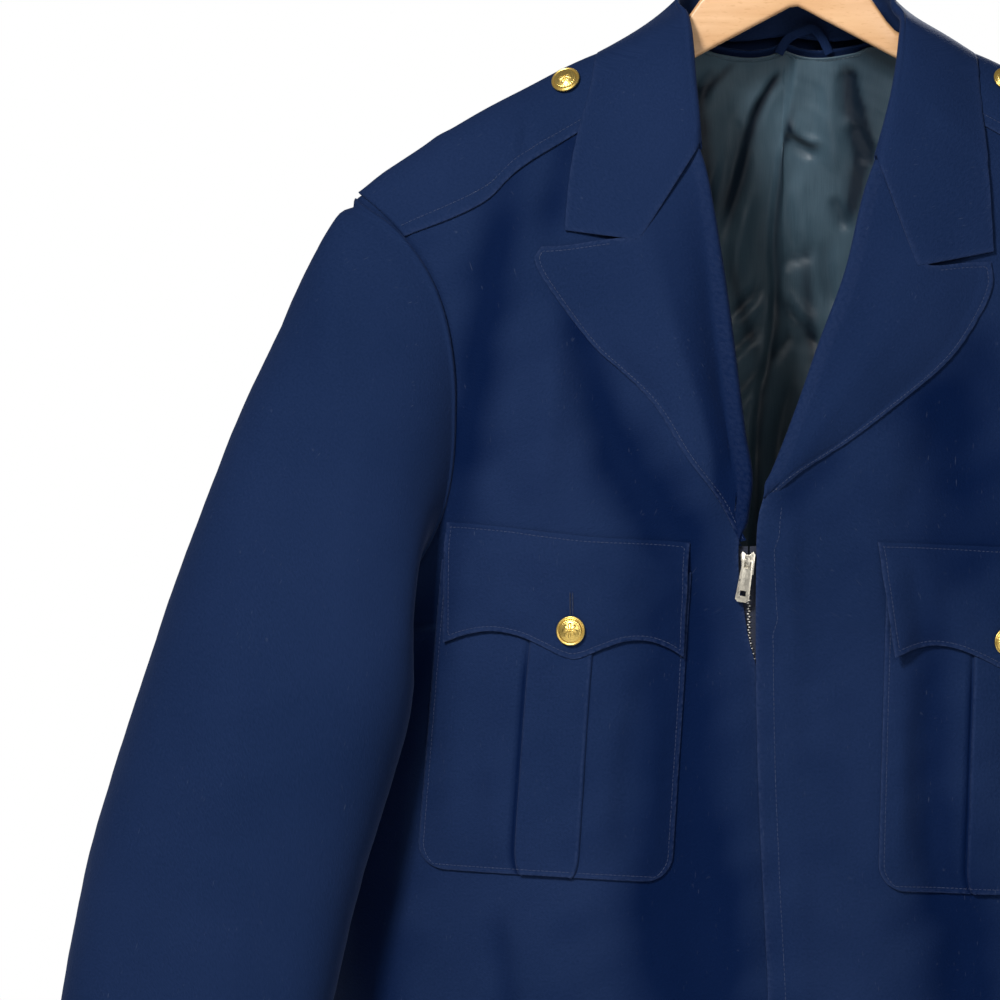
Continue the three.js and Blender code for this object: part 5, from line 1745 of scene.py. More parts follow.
# --- collar
@dataclass
class Collar:
    """The notched collar: its stand, the soft roll and the fall."""

    columns: int = 176
    rows: int = 34
    lift: float = 3.2
    puff: float = 3.2
    ridge_at: float = 0.58
    ridge_reach: float = 0.09
    ridge_lift: float = 4.2
    thickness: float = 1.7
    length: float = 560.0
    width: float = 66.0
    nape = (
        (0.6, 60, -2, -106.5, 101, -1), (0.66, 59, 7, -101, 97, -7), (0.78, 48, 24, -92.5, 76, -24.5),
        (0.89, 27, 36, -88, 41, -46), (1.0, 0, 41, -86, 0, -72),
    )
    fronts = {
        Side.RIGHT: ((0.0, 48.4, -39, -184.5, 120.5, 88), (0.14, 50.0, -36, -165, 118, 63),
                     (0.27, 52.0, -30, -146, 114, 41), (0.4, 53.6, -22, -127, 108, 20.5),
                     (0.53, 55.5, -10, -112, 103, 5)),
        Side.LEFT: ((0.0, 48.4, -39, -191, 111, 104), (0.14, 55.5, -36, -166, 109.5, 73),
                    (0.27, 60, -30, -146, 108, 48), (0.4, 63, -22, -127, 105.5, 24),
                    (0.53, 64, -10, -112, 103, 5)),
    }
    stand = Table(
        "at x y z", (0.53, 70, -3, -121), (0.66, 68, 10, -120), (0.78, 52, 21.5, -120.7),
        (0.89, 28, 31, -124.5), (1.0, 0, 36.5, -121.5),
    )
    stitches: list[Points] = field(default_factory=list)

    def table(self, side: Side) -> Table:
        """The collar's table on one side."""
        return Table("at foldX foldY foldZ edgeX fall", *self.fronts[side], *self.nape)

    def half_sheet(self, side: Side, at: Points, b: Points) -> Points:
        """Underside of the fall on one side.

        Args:
            side: The wearer's side.
            at: 0 at the front end, 1 at the nape.
            b: 0 at the fold, 1 at the free edge.

        Returns:
            The points.
        """
        table = self.table(side)
        fall = table.read("fall", at)
        lift = self.lift + self.ridge_lift * bell(at - self.ridge_at, self.ridge_reach)
        edge_x = side.value * table.read("edgeX", at)
        level = FORM.ridge(edge_x) - np.abs(fall)
        ahead = (fall > 0)[..., None]
        edge = np.where(ahead, FORM.above(edge_x, level, Face.FRONT, lift),
                        FORM.above(edge_x, level, Face.BACK, lift))
        fold = self.fold(side, at)
        point = fold + (edge - fold) * b[..., None]
        place = GORGE_PLACE[side]
        hat = np.where(b < place, b / place, (1 - b) / (1 - place))
        point[..., 2] -= GORGE_DROP[side] * hat * np.maximum(0, 1 - at / GORGE_REACH)
        puff = self.puff * np.sin(math.pi * np.sqrt(b))
        x, z = point[..., 0], point[..., 2]
        under_front = FORM.above(x, z, Face.FRONT, lift + puff)[..., 1]
        under_back = FORM.above(x, z, Face.BACK, lift + puff)[..., 1]
        y = point[..., 1]
        point[..., 1] = np.where(fall > 0, np.minimum(y - puff, under_front),
                                 np.maximum(y + puff, under_back))
        return point

    def fold(self, side: Side, at: Points) -> Points:
        """The fold line."""
        return self.table(side).points("foldX foldY foldZ", at, side.value)

    def foot(self, side: Side, at: Points) -> Points:
        """Foot of the stand: on the neck seam in front, on the stand's table behind.

        Args:
            side: The wearer's side.
            at: Places along the collar, 0 to 1.

        Returns:
            The points.
        """
        z = self.fold(side, at)[..., 2] - 5
        x = GRID.edge(side, np.minimum(z, -126)) + side.value * 2.5
        ahead = FORM.above(x, z, Face.FRONT, np.full_like(z, -3.2))
        behind = self.stand.points("x y z", at, side.value)
        return mixed(ahead, behind, smooth((at - 0.4) / 0.14)[..., None])

    def build(self) -> Piece:
        """Makes the collar in one piece, from the stand's foot to the free edge.

        Returns:
            The piece.
        """
        c = edged(self.length, self.columns)[0]
        at = 1 - np.abs(c - 0.5) * 2
        right = c < 0.5
        b = edged(self.width, self.rows, False, True)[0]
        b = 0.03 + b * 0.97
        grid_at, grid_b = np.meshgrid(at, b)
        pick = right[None, :, None]
        fall = np.where(pick, self.half_sheet(Side.RIGHT, grid_at, grid_b),
                        self.half_sheet(Side.LEFT, grid_at, grid_b))
        fall = self.eased(fall, at)
        normals = grid_normals(fall, -1)
        middle = fall + normals * (self.thickness / 2)
        fold = np.where(right[:, None], self.fold(Side.RIGHT, at), self.fold(Side.LEFT, at))
        foot = np.where(right[:, None], self.foot(Side.RIGHT, at), self.foot(Side.LEFT, at))
        inward = fold * np.array([-0.02, 0, 0])
        inward[:, 1] -= fold[:, 1] * 0.05
        top = fold + inward + np.array([0, 0, -2.4])
        apex = fold + np.array([0, 0, 1.3]) + inward * 0.35
        half_way = mixed(foot, top, 0.5) + inward * 0.3
        controls = np.array([foot, half_way, top, apex, middle[0], middle[4]])
        t = np.linspace(0, 0.8, 20)[:-1]
        rise = spline(controls, t)
        sheet = np.concatenate([rise, middle])
        normals = grid_normals(sheet, -1)
        distance = edge_distance(sheet, "lrt")
        half = np.maximum(turned_edge(distance, self.thickness), 0.08)
        relief = stitch_groove(distance)
        relief[:len(rise)] *= 0
        wave = 0.3 * ripple(sheet[..., 0], sheet[..., 2], 36.0, SEED + 31)
        wave[:len(rise)] *= 0
        outer = sheet + normals * (half + relief + wave)[..., None]
        inner = sheet - normals * (half - wave)[..., None]
        wear = edge_wear(outer, "lrt", 1.3, 0.75)
        wear[:len(rise)] = 0.1
        self.stitches.append(stitch_run(outer, len(rise) + int((len(outer) - len(rise)) * 0.52)))
        return cloth("collar_wool", outer, inner, WOOL, ["collar_fall", "collar_stand"], wear)

    def eased(self, fall: Points, at: Points) -> Points:
        """Evens out the fall where it crosses the shoulder.

        Args:
            fall: The fall's points, which are changed.
            at: Place of each column, 0 to 1.

        Returns:
            The same grid.
        """
        passes = 30
        near = bell(at - self.ridge_at, 0.12)[None, 1:-1, None]
        for _ in range(passes):
            mean = (fall[:, :-2] + fall[:, 2:]) / 2
            fall[:, 1:-1] += (mean - fall[:, 1:-1]) * 0.5 * near
        return fall


# --- shoulder straps
@dataclass
class Straps:
    """The shoulder straps along the shoulder seams."""

    rows: int = 70
    columns: int = 36
    tip: float = 12.0
    shoulder_x: float = 236.0
    length: float = 140.0
    width: float = 58.0
    start_gap: float = 2.6
    seam_lift: float = 0.2
    seam_run: float = 16.0
    swell: float = 0.9
    swell_width: float = 14.0
    outline = Table(
        "x front back", (88, 34, 5), (109, 36.6, 6), (139, 40.3, 7), (150, 42.7, 8), (163, 48.4, 9),
        (182, 47.5, 9), (212, 40, 9), (236, 36, 9),
    )
    creases = crease_rows(
        (-146, -168, -151, -192, 4.5, 1.5), (-140, -172, -143, -190, 4, -0.8),
        (-186, -176, -192, -204, 6, 0.9),
    )
    stitches: list[Points] = field(default_factory=list)

    def surface(self, side: Side, c: Points, r: Points) -> Points:
        """Points of the strap on the shoulder.

        Args:
            side: The wearer's side.
            c: Places across the sheet, 0 to 1.
            r: Places along it, 0 to 1.

        Returns:
            The points.
        """
        q = 2 * c - 1
        cross = np.abs(q) ** 1.8
        start = self.shoulder_x - self.start_gap - np.where(q < 0, 25, 7) * cross
        x = start + (self.outline.key[0] + self.tip * q * q - start) * r
        drop = np.where(q < 0, self.outline.read("front", x), self.outline.read("back", x)) * cross
        z = FORM.ridge(x) - drop
        x = side.value * x
        y = np.where(q < 0, FORM.depth(x, z, Face.FRONT), FORM.depth(x, z, Face.BACK))
        return stack(x, y, z)

    def build(self, side: Side) -> Piece:
        """Makes one strap.

        Args:
            side: The wearer's side.

        Returns:
            The piece.
        """
        c = edged(self.width, self.columns)[0][None]
        r = edged(self.length, self.rows, False, True)[0][:, None]
        points = self.surface(side, c, r)
        normals = grid_normals(points, side.value)
        distance = edge_distance(points, "lrt")
        half = np.maximum(turned_edge(distance, LEAF), LEAF_RIM)
        crease = crease_sum(self.creases, -np.abs(points[..., 0]), points[..., 2]) * smooth(distance / 6)
        wave = 0.25 * ripple(points[..., 0], points[..., 2], 34.0, SEED + 40)
        body = self.swell * smooth(distance / self.swell_width) + crease + wave
        free = smooth(r * self.length / self.seam_run)
        lift = self.seam_lift + (REST - self.seam_lift + body) * free
        middle = points + normals * (LEAF / 2 + lift)[..., None]
        outer, inner = leaf_faces(middle, normals, half, stitch_groove(distance))
        wear = edge_wear(outer, "lrt", LEAF_WEAR, 0.5)
        self.stitches.append(stitch_run(outer, 2))
        return cloth(f"{side.word}_strap_wool", outer, inner, WOOL, [f"epaulette_{side.word}"], wear)


# --- patch pockets
@dataclass(frozen=True)
class PocketPlace:
    """Where a pocket sits, how it slopes, and how far its outer side spreads."""

    x: float
    z: float
    slope: float
    lean: float
    length: float
    lifted: float
    spread: float
    creases: tuple[Crease, ...]


@dataclass
class Pockets:
    """The two patch pockets with box pleats and scalloped flaps."""

    half: float = 66.0
    top: float = 16.0
    corner: float = 15.0
    pleat_left: float = 17.6
    pleat_right: float = 15.2
    pleat_rise: float = 1.3
    flap_half: float = 64.5
    pucker: float = 0.14
    spread_top: float = 0.45
    flap_spread: float = 0.5
    flap_tilt: float = 0.85
    button_drop: float = 51.0
    rows: int = 100
    places = {
        Side.RIGHT: PocketPlace(-118, -397, -0.053, -0.066, 184, 0, 5.0, crease_rows(
            (45, -66, 40, -176, 7, -1.5, 3), (30, -84, 25, -170, 6, 0.8), (-38, -70, -46, -160, 8, -1, -3),
            (-54, -90, -50, -178, 6, 0.7), (-6, -74, 4, -176, 6, -0.7, 3), (54, -90, 55, -176, 5, 0.7),
            (-30, -120, -26, -182, 5, 0.6), (6, -68, 8, -110, 4, 0.5),
        )),
        Side.LEFT: PocketPlace(119, -403, -0.04, -0.03, 188, 4.5, 0.0, crease_rows(
            (-42, -66, -40, -180, 7, -1.7, 3), (-26, -80, -27, -176, 6, 0.8),
            (40, -70, 44, -170, 8, -1.1, 3), (54, -96, 52, -180, 6, 0.7), (4, -74, -2, -180, 6, -0.7),
            (-56, -90, -56, -180, 5, 0.7), (26, -110, 30, -184, 5, 0.6),
        )),
    }
    scallop = Table("at drop", (0.0, 66.6), (0.09, 65), (0.22, 61), (0.43, 55.6), (0.64, 54.2),
                    (0.84, 57.2), (1.0, 62))
    flap_creases = crease_rows(
        (-40, -8, -36, -52, 6, 0.5), (-22, -10, -14, -44, 7, -0.5, 3), (30, -8, 26, -48, 7, 0.5),
        (46, -10, 50, -50, 6, -0.5), (-10, -40, -30, -56, 4, -0.35), (10, -40, 28, -54, 4, -0.35),
    )
    stitches: list[Points] = field(default_factory=list)
    buttonholes: list[Points] = field(default_factory=list)

    @property
    def flap_low(self) -> float:
        """Height of the flap's underside over the front."""
        return REST * 2 + LEAF + 1.1

    def put(self, pocket: PocketPlace, across: Points, down: Points) -> tuple[Points, Points]:
        """x and z of a place on a pocket."""
        return (pocket.x + across + pocket.lean * down, pocket.z - down + pocket.slope * across)

    def columns(self) -> Points:
        """Grid lines across the pouch, close together at its edges and its pleat.

        Returns:
            The lines' places from the pocket's middle.
        """
        near = np.array(EDGE_LINES)
        fold = np.array([-2.4, -1.5, -0.9, -0.5, -0.2, 0.1, 0.4, 0.9, 1.6, 2.6, 4.0])
        left = -self.pleat_left + fold
        right = self.pleat_right - fold[::-1]
        parts = [-self.half + near, np.linspace(-self.half + near[-1], left[0], 20)[1:-1], left,
                 np.linspace(left[-1], right[0], 14)[1:-1], right,
                 np.linspace(right[-1], self.half - near[-1], 20)[1:-1], self.half - near[::-1]]
        return np.concatenate(parts)

    def pouch(self, side: Side) -> Piece:
        """Makes one pouch.

        Args:
            side: The wearer's side.

        Returns:
            The piece.
        """
        pocket = self.places[side]
        across = self.columns()[None]
        end = pocket.length - np.array(EDGE_LINES)[::-1]
        down = np.concatenate([np.linspace(self.top, pocket.length - self.corner - 4, self.rows),
                               np.linspace(pocket.length - self.corner - 2, end[0], 9)[:-1], end])[:, None]
        to_end = np.maximum(0, self.corner - (pocket.length - down))
        inset = self.corner - np.sqrt(self.corner**2 - to_end**2)
        x, z = self.put(pocket, across * (1 - inset / self.half), down)
        down_share = self.spread_top + (1 - self.spread_top) * down / pocket.length
        x = x - pocket.spread * smooth(-across / self.half) * down_share
        flat = FORM.on_front(x, z, REST + LEAF / 2)
        distance = edge_distance(flat, "lrt")
        below = smooth((down - 52) / 30)
        strip = smooth((across + self.pleat_left) / 0.9) - smooth((across - self.pleat_right) / 0.9)
        groove = -1.0 * bell(across + self.pleat_left + 0.8, 0.9)
        groove = groove - 0.4 * bell(across - self.pleat_right - 0.9, 0.5)
        body = 1.5 * smooth(distance / 26) * below
        crease = crease_sum(pocket.creases, across + 0 * down, -down + 0 * across)
        crease = crease * smooth(distance / 12) * below
        beside = bell(distance - 5, 4)
        pucker = self.pucker * np.sin(across / 2.1 + 3 * np.sin(across / 17)) * beside
        pucker = pucker + self.pucker * np.sin(down / 2.3 + 3 * np.sin(down / 21)) * beside
        lift = REST + LEAF / 2 + self.pleat_rise * strip + body + crease + pucker
        middle = FORM.on_front(x, z, np.maximum(lift, REST + LEAF / 2))
        normals = front_normals(middle)
        half = np.maximum(turned_edge(distance, LEAF), LEAF_RIM)
        outer, inner = leaf_faces(middle, normals, half, stitch_groove(distance) + groove)
        folds = 0.5 * (bell(across + self.pleat_left - 0.6, 0.5) + bell(across - self.pleat_right + 0.6, 0.5))
        wear = np.clip(np.exp(-distance / 1.1) * 0.55 + folds * 0.6 + 0 * down, 0, 1)
        self.stitches.append(stitch_run(outer, 0))
        # Painted shade: the body's fold shade, plus a dark band beside the pleat's left fold line.
        hollow = FORM.hollow(outer, Face.FRONT) * 0.8
        hollow = hollow + bell(across + self.pleat_left + 1.4, 1.3) * below
        return cloth(f"{side.word}_pocket_wool", outer, inner, WOOL, [f"pocket_{side.word}"],
                     wear, hollow=hollow)

    def flap(self, side: Side) -> Piece:
        """Makes one flap, whose lower edge is scalloped to a point at the button.

        Args:
            side: The wearer's side.

        Returns:
            The piece.
        """
        pocket = self.places[side]
        c = edged(self.flap_half * 2, 92)[0][None]
        q = 2 * c - 1
        r = edged(60.0, 44)[0][:, None]
        drop = self.scallop.read("drop", np.abs(q))
        down = drop * r
        across = q * self.flap_half + 0 * r
        x, z = self.put(pocket, across + self.skew(side, q, down), down)
        tilt = smooth((0.4 - q) / 1.4) * (1 - 0.8 * smooth(r))
        x = x - pocket.spread * self.flap_spread * smooth((0.2 - q) / 1.2)
        z = z + pocket.spread * self.flap_tilt * tilt
        corner = smooth((-q - 0.72) / 0.28) * smooth(r / 0.5)
        seam = (self.flap_low - REST) * (1 - smooth(down / self.top))
        rise = pocket.lifted * corner - seam
        flat = FORM.on_front(x, z, self.flap_low + 0 * x)
        distance = edge_distance(flat, "lrbt")
        crease = crease_sum(self.flap_creases, across, -down) * smooth(distance / 9)
        press = -0.5 * bell(np.hypot(across, down - self.button_drop), 10)
        body = 0.8 * smooth(distance / 15) + 0.2 * ripple(x, z, 30.0, SEED + 50)
        body = np.maximum(body + crease + press, 0)
        middle = FORM.on_front(x, z, self.flap_low + LEAF / 2 + rise + body)
        normals = front_normals(middle)
        half = np.maximum(turned_edge(distance, LEAF), LEAF_RIM)
        outer, inner = leaf_faces(middle, normals, half, stitch_groove(distance))
        wear = edge_wear(outer, "lrt", LEAF_WEAR, 0.6)
        k = STITCH_LINE
        self.stitches.append(np.concatenate([
            outer[k:-k - 1, k], outer[-k - 1, k:-k - 1],
            outer[k + 1:-k, -k - 1][::-1], outer[k, k:-k - 1][::-1]]))
        self.keep_buttonhole(outer, down)
        # Painted shade: the body's fold shade carried over the flap.
        hollow = FORM.hollow(outer, Face.FRONT) * 0.8
        return cloth(f"{side.word}_flap_wool", outer, inner, WOOL, [f"flap_{side.word}"],
                     wear, hollow=hollow)

    def skew(self, side: Side, q: Points, down: Points) -> Points:
        """How far a flap leans off its pouch."""
        if side is Side.RIGHT:
            return down * (0.086 - 0.03 * q - 0.05 * q * q)
        return down * (0.125 - 0.02 * q + 0.02 * q * q) - 7.0

    def keep_buttonhole(self, outer: Points, down: Points) -> None:
        """Notes the run of the buttonhole over the button.

        Args:
            outer: The outer face.
            down: How far below the flap's top each point lies.
        """
        column = outer.shape[1] // 2
        rows = (down[:, column] > 31) & (down[:, column] < 44)
        line = outer[rows, column] + np.array([0, -0.1, 0])
        self.buttonholes.append(line)


# --- tubes and buttons
def tube(name: str, rings: Points, finish: Finish, wear: Optional[Points] = None) -> Piece:
    """Makes a closed solid from rings, with a cap on each end.

    Args:
        name: The piece's name.
        rings: [ring][turn][xyz] in millimetres.
        finish: Its material.
        wear: How rubbed each point is.

    Returns:
        The new object.
    """
    count, turns = rings.shape[:2]
    build = bmesh.new()
    verts = [[build.verts.new(Vector(point) * MM) for point in ring] for ring in rings]
    for low, high in zip(verts, verts[1:]):
        for k in range(turns):
            n = (k + 1) % turns
            build.faces.new((low[k], low[n], high[n], high[k]))
    build.faces.new(verts[0][::-1])
    build.faces.new(verts[-1])
    bmesh.ops.recalc_face_normals(build, faces=build.faces)
    mesh = closed_mesh(name, build)
    mesh.shade_smooth()
    keep_values(mesh, "wear", np.zeros(count * turns) if wear is None else wear.ravel())
    item = linked(name, mesh)
    item.data.materials.append(finish.material())
    return item


def swept(path: Points, radii: Points, turns: int) -> Points:
    """Rings of a round wire along a path.

    Args:
        path: Points along it.
        radii: The wire's radius at each.
        turns: Points round the wire.

    Returns:
        [ring][turn][xyz].
    """
    way = unit(np.gradient(path, axis=0))
    side = np.zeros_like(way)
    side[0] = unit(np.cross(way[0], np.array([0.31, 0.9, 0.2])))
    for k in range(1, len(way)):
        side[k] = unit(side[k - 1] - way[k] * np.dot(side[k - 1], way[k]))
    other = np.cross(way, side)
    angle = np.linspace(0, 2 * math.pi, turns, endpoint=False)
    ring = side[:, None] * np.cos(angle)[None, :, None] + other[:, None] * np.sin(angle)[None, :, None]
    return path[:, None] + ring * np.asarray(radii)[:, None, None]


@dataclass
class Button:
    """Domed gilt button with a rolled rim, a ring of beads and a plain rosette."""

    radius: float = 8.0
    height: float = 4.6
    turns: int = 112
    beads: int = 28
    petals: int = 8

    def profile(self) -> Points:
        """Radius and height from the neck round the rim to the crown.

        Returns:
            Pairs of radius and height.
        """
        r = self.radius
        under = [(0.1, 0), (2.0, 0), (2.2, 0.1), (2.2, 0.8), (2.4, 0.9), (r - 1.0, 0.9), (r - 0.4, 1.1)]
        rim_turn = np.linspace(-0.9, 2.0, 9)
        rim = [(r - 0.55 + 0.55 * math.cos(a), 1.75 + 0.75 * math.sin(a)) for a in rim_turn]
        face = np.linspace(0.86, 0.012, 30) * r
        dome = [(f, 2.0 + (self.height - 2.0) * (1 - (f / (r * 0.86)) ** 2) ** 0.8) for f in face]
        return np.array(under + rim + dome)

    def build(self, name: str, node: str, centre: Points, normal: Points) -> Piece:
        """Makes one button.

        Args:
            name: The piece's name.
            node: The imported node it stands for.
            centre: Foot of its neck.
            normal: Where its face looks.

        Returns:
            The piece.
        """
        profile = self.profile()
        angle = np.linspace(0, 2 * math.pi, self.turns, endpoint=False)[None]
        rho, up = profile[:, :1], profile[:, 1:]
        share = rho / self.radius
        face = (np.arange(len(profile)) >= 16)[:, None]
        beads = 0.3 * bell(share - 0.74, 0.055) * np.sqrt(np.abs(np.cos(angle * self.beads / 2)))
        petal = np.abs(np.cos(angle * self.petals / 2))
        reach = 0.26 + 0.3 * petal
        rosette = 0.42 * smooth((reach - share) / 0.1) * (0.55 + 0.45 * petal)
        vein = -0.16 * bell(np.sin(angle * self.petals / 2), 0.12) * bell(share - 0.38, 0.14)
        heart = 0.3 * smooth((0.14 - share) / 0.05)
        ring = 0.18 * bell(share - 0.62, 0.02)
        relief = np.where(face, beads + rosette + vein + heart + ring, 0)
        rings = stack(rho * np.cos(angle), rho * np.sin(angle), up + relief)
        out = unit(np.asarray(normal, dtype=float))
        across = unit(np.cross([0, 0, 1.0], out))
        rise = np.cross(out, across)
        placed = centre + rings[..., :1] * across + rings[..., 1:2] * rise + rings[..., 2:] * out
        wear = np.where(face, np.clip(0.75 - relief * 2.6, 0, 0.75), 0.1) * np.ones_like(angle)
        return dressed(tube(name, placed, GILT, wear), [node])


# --- lining and loop
@dataclass
class Lining:
    """Satin lining inside the back, with its centre pleat and painted shade along its folds."""

    columns: int = 150
    rows: int = 190
    gap: float = 3.2
    thickness: float = 0.7
    pleat_width: float = 8.0
    pleat_rise: float = 2.8
    top_z: float = -132.5
    top_half: float = 48.0
    top_ease: float = 10.0
    top_share: float = 0.965
    top_run: float = 0.035
    crease_shade: float = 0.5
    pleat_shade: float = 0.7
    side_shade: float = 0.4
    shade_full: float = 3.0
    lift_range = (-2, 6)
    top_edge: Optional[Points] = None
    pleat = Table("z x", (-720, -20), (-480, -17), (-366, -16), (-323, -13.5), (-291, -7), (-258, -5),
                  (-237, -6.5), (-188, -2.7), (-167, 2.7), (-137, 8))
    creases = crease_rows(
        (-2, -139, -20, -172, 3.4, -3, 2), (-20, -172, -34, -232, 4, -2.8, -3),
        (-8, -140, -30, -200, 5, 2.4, 3), (-40, -138, -47, -158, 4, -2.6, 1),
        (-24, -172, -41, -224, 5, -2.6, 3), (-32, -180, -46, -240, 5, 2.4, 3),
        (-29, -276, -13, -259, 2.2, -2.8), (-28, -283, -11, -266, 2.6, 2),
        (-31, -298, -12, -280, 2.2, -2.8), (-30, -305, -12, -287, 2.6, 2),
        (-28, -323, -11, -302, 2.2, -2.6), (-26, -330, -10, -309, 2.6, 1.8),
        (-1, -264, 21, -289, 2.4, -2.8, 2), (3, -260, 25, -284, 2.8, 2, 2), (-6, -298, 6, -284, 2.2, -2.4),
        (6, -285, 21, -290, 2.2, -2.4), (4, -165, 22, -179, 3.4, 3, 2), (2, -172, 20, -186, 3, -2.6, 2),
        (35, -137, 39, -168, 5, -3.6, 1), (39, -168, 49, -190, 5, -3.6, 1), (27, -140, 30, -190, 5, 2.2, 2),
        (29, -208, 37, -226, 4, -2.6, 1), (-1, -244, 19, -238, 2.4, -2, 1), (10, -196, 16, -236, 6, 2, 3),
        (24, -232, 30, -272, 5, -2.4, 2), (24, -300, 12, -352, 4, 2, 2), (-20, -205, -26, -262, 5, 2.4, 2),
        (6, -310, -4, -360, 4, -2, 2), (-60, -200, -70, -320, 9, -1.6, 4),
        (-90, -240, -84, -380, 10, 1.5, 4), (64, -240, 80, -340, 9, -1.6, 4),
        (100, -260, 96, -400, 10, 1.5, -4), (-50, -420, -40, -560, 9, 1.4, 4),
        (40, -430, 50, -600, 10, -1.6, 4), (-110, -480, -120, -660, 11, -1.6, 5),
        (110, -480, 126, -650, 11, 1.5, 5), (-30, -560, -34, -720, 9, -1.5, 4),
        (60, -620, 70, -730, 9, 1.4, 4),
    )
    # Dark lines of painted shadow along the lining's folds.
    dark = crease_rows(
        (-4, -140, -15, -158, 2.2, -2.6), (-13, -152, -22, -178, 3.6, -3), (-20, -170, -33, -222, 4.4, -3),
        (-51, -144, -46, -176, 5, -3.4), (-46, -168, -41, -222, 4.4, -3.2),
        (-28, -133, -49, -156, 2.2, -2.2), (38, -138, 40, -158, 3, -3), (40, -152, 48, -190, 4.4, -3.6),
        (46, -176, 38, -222, 4, -3.4), (4, -165, 20, -182, 2.4, -2, 2), (-30, -240, -12, -300, 3.2, -2, 2),
        (14, -236, 24, -330, 3.6, -2.2, 3),
    )

    def build(self) -> Piece:
        """Makes the lining.

        Returns:
            The piece.
        """
        c = np.linspace(0, 1, self.columns)
        c = 0.5 + (c - 0.5) * (0.46 + 0.54 * (2 * np.abs(c - 0.5)) ** 1.5)
        r = np.linspace(0, 1, self.rows)[:, None]
        r = 1 - (1 - r) * (0.42 + 0.58 * (1 - r) ** 1.3)
        neck = smooth(1.5 - np.abs(c - 0.5) * 7)
        up = 0.02 + (0.9 + 0.096 * neck - 0.02) * r
        form = GRID.back((0.05 + 0.9 * c)[None] + 0 * r, up)
        raised = np.clip(self.top_z - form[-1:, :, 2], *self.lift_range)
        raised = raised * smooth((self.top_half - np.abs(form[-1:, :, 0])) / self.top_ease)
        form[..., 2] += raised * smooth((r - self.top_share) / self.top_run)
        normals = grid_normals(form, 1)
        normals *= np.sign(normals[..., 1:2] + 1e-9)
        x, z = form[..., 0], form[..., 2]
        off = x - self.pleat.read("x", z)
        pleat = self.pleat_rise * np.where(off > 0, bell(off, self.pleat_width), bell(off, 1.5))
        wrinkle = crease_sum(self.creases, x, z) + 0.5 * ripple(x, z, 26.0, SEED + 60)
        wrinkle = wrinkle + 0.2 * ripple(x, z, 9.0, SEED + 61)
        into = np.maximum(pleat + wrinkle, -2.4)
        high = -CLOTH - self.gap
        near = np.minimum(r, 1 - r) * HEIGHT
        into = into * smooth(near / 14)
        outer = form + normals * (high - into)[..., None]
        inner = outer - normals * self.thickness
        self.top_edge = inner[-3, 30:-30]
        # Painted shade mixed into the satin's colour: its creases, the dark lines, a band beside the pleat
        # and a patch high on the wearer's left.
        shade = np.clip(-crease_sum(self.creases, x, z) / self.shade_full, 0, 1) * self.crease_shade
        shade = shade + np.clip(-crease_sum(self.dark, x, z) / self.shade_full, 0, 1)
        shade = shade + self.pleat_shade * bell(off - 2, 2.6) * smooth((-150 - z) / 20)
        beside = self.side_shade * smooth((x - 22) / 20) * smooth((z + 235) / 40) * smooth((70 - x) / 20)
        shade = shade + beside
        return cloth("lining_satin", inner, outer, SATIN, ["lining_back"],
                     hollow=shade * smooth(near / 10))


@dataclass
class Loop:
    """Hanging loop: a narrow tape bowed across the nape."""

    width: float = 5.0
    thickness: float = 1.0
    left: float = -3.0
    right: float = 25.0
    z: float = -131.5
    drop: float = 13.5
    y: float = 29.3

    def build(self) -> Piece:
        """Makes the loop.

        Returns:
            The piece.
        """
        y, z = self.y, self.z
        controls = np.array([
            (self.left, y, z), (self.left + 5, y - 1, z + self.drop * 0.6),
            (self.left + 13, y - 2, z + self.drop * 0.9), (self.right - 9, y - 2, z + self.drop),
            (self.right - 4, y - 1.5, z + self.drop * 0.6), (self.right, y, z)])[:, None]
        path = spline(controls, np.linspace(0, 1, 60))[:, 0]
        way = unit(np.gradient(path, axis=0))
        across = unit(stack(-way[:, 2], 0 * way[:, 0], way[:, 0]))
        share = np.linspace(-0.5, 0.5, 9)[None, :, None]
        sheet = path[:, None] + across[:, None] * share * self.width
        swell = 0.5 * np.sqrt(np.maximum(1 - (share * 1.94) ** 2, 0.02)) * np.array([0, 1.0, 0])
        middle = sheet + np.array([0, self.thickness / 2, 0])
        piece = shell("hanging_loop", middle - swell * self.thickness, middle + swell * self.thickness, WOOL)
        return dressed(piece, ["hanger_loop"])


# --- zip
@dataclass
class Zip:
    """Zip behind the fronts: its two tapes, and the slider with its pull tab."""

    chain: float = 0.5
    thickness: float = 0.9
    behind: float = 1.3
    top: float = -402.0
    foot: float = -749.0
    tooth_pitch: float = 2.9
    table = Table("z x", (-753, -9.3), (-640, -12.3), (-560, -16.2), (-500, -19.6), (-450, -22.2),
                 (-425, -22.5), (-400, -22.5))

    def place(self, z: Points) -> Points:
        """x of the chain at a height."""
        return self.table.read("x", z) + GRID.fly_cover(z)

    def half(self, side: Side) -> Piece:
        """Makes one tape.

        Args:
            side: The wearer's side.

        Returns:
            The piece.
        """
        z = np.linspace(self.foot, self.top, 150)[:, None]
        across = np.array([0, 0.15, 0.5, 1.2, 2.4, 5, 8, 11, 12.4, 12.85, 13.0])[None]
        x = self.place(z) + side.value * (self.chain + across)
        high = -CLOTH - self.behind
        outer = FORM.on_front(x, z + 0 * across, high + 0 * x)
        cord = 0.3 * bell(across - 1.2, 0.8) + 0 * z
        inner = FORM.on_front(x, z + 0 * across, high - self.thickness - cord)
        return cloth(f"zip_tape_{side.word}_weave", outer, inner, TAPE, [f"zip_tape_{side.word}"])

    def teeth_line(self, side: Side) -> Points:
        """Run of one side's teeth.

        Args:
            side: The wearer's side.

        Returns:
            The points.
        """
        shift = self.tooth_pitch / 2 if side is Side.LEFT else 0.0
        z = np.arange(self.foot + shift, -418, self.tooth_pitch)
        x = self.place(z) + side.value * 0.35
        return FORM.on_front(x, z, np.full_like(z, -CLOTH - self.behind + 0.1))


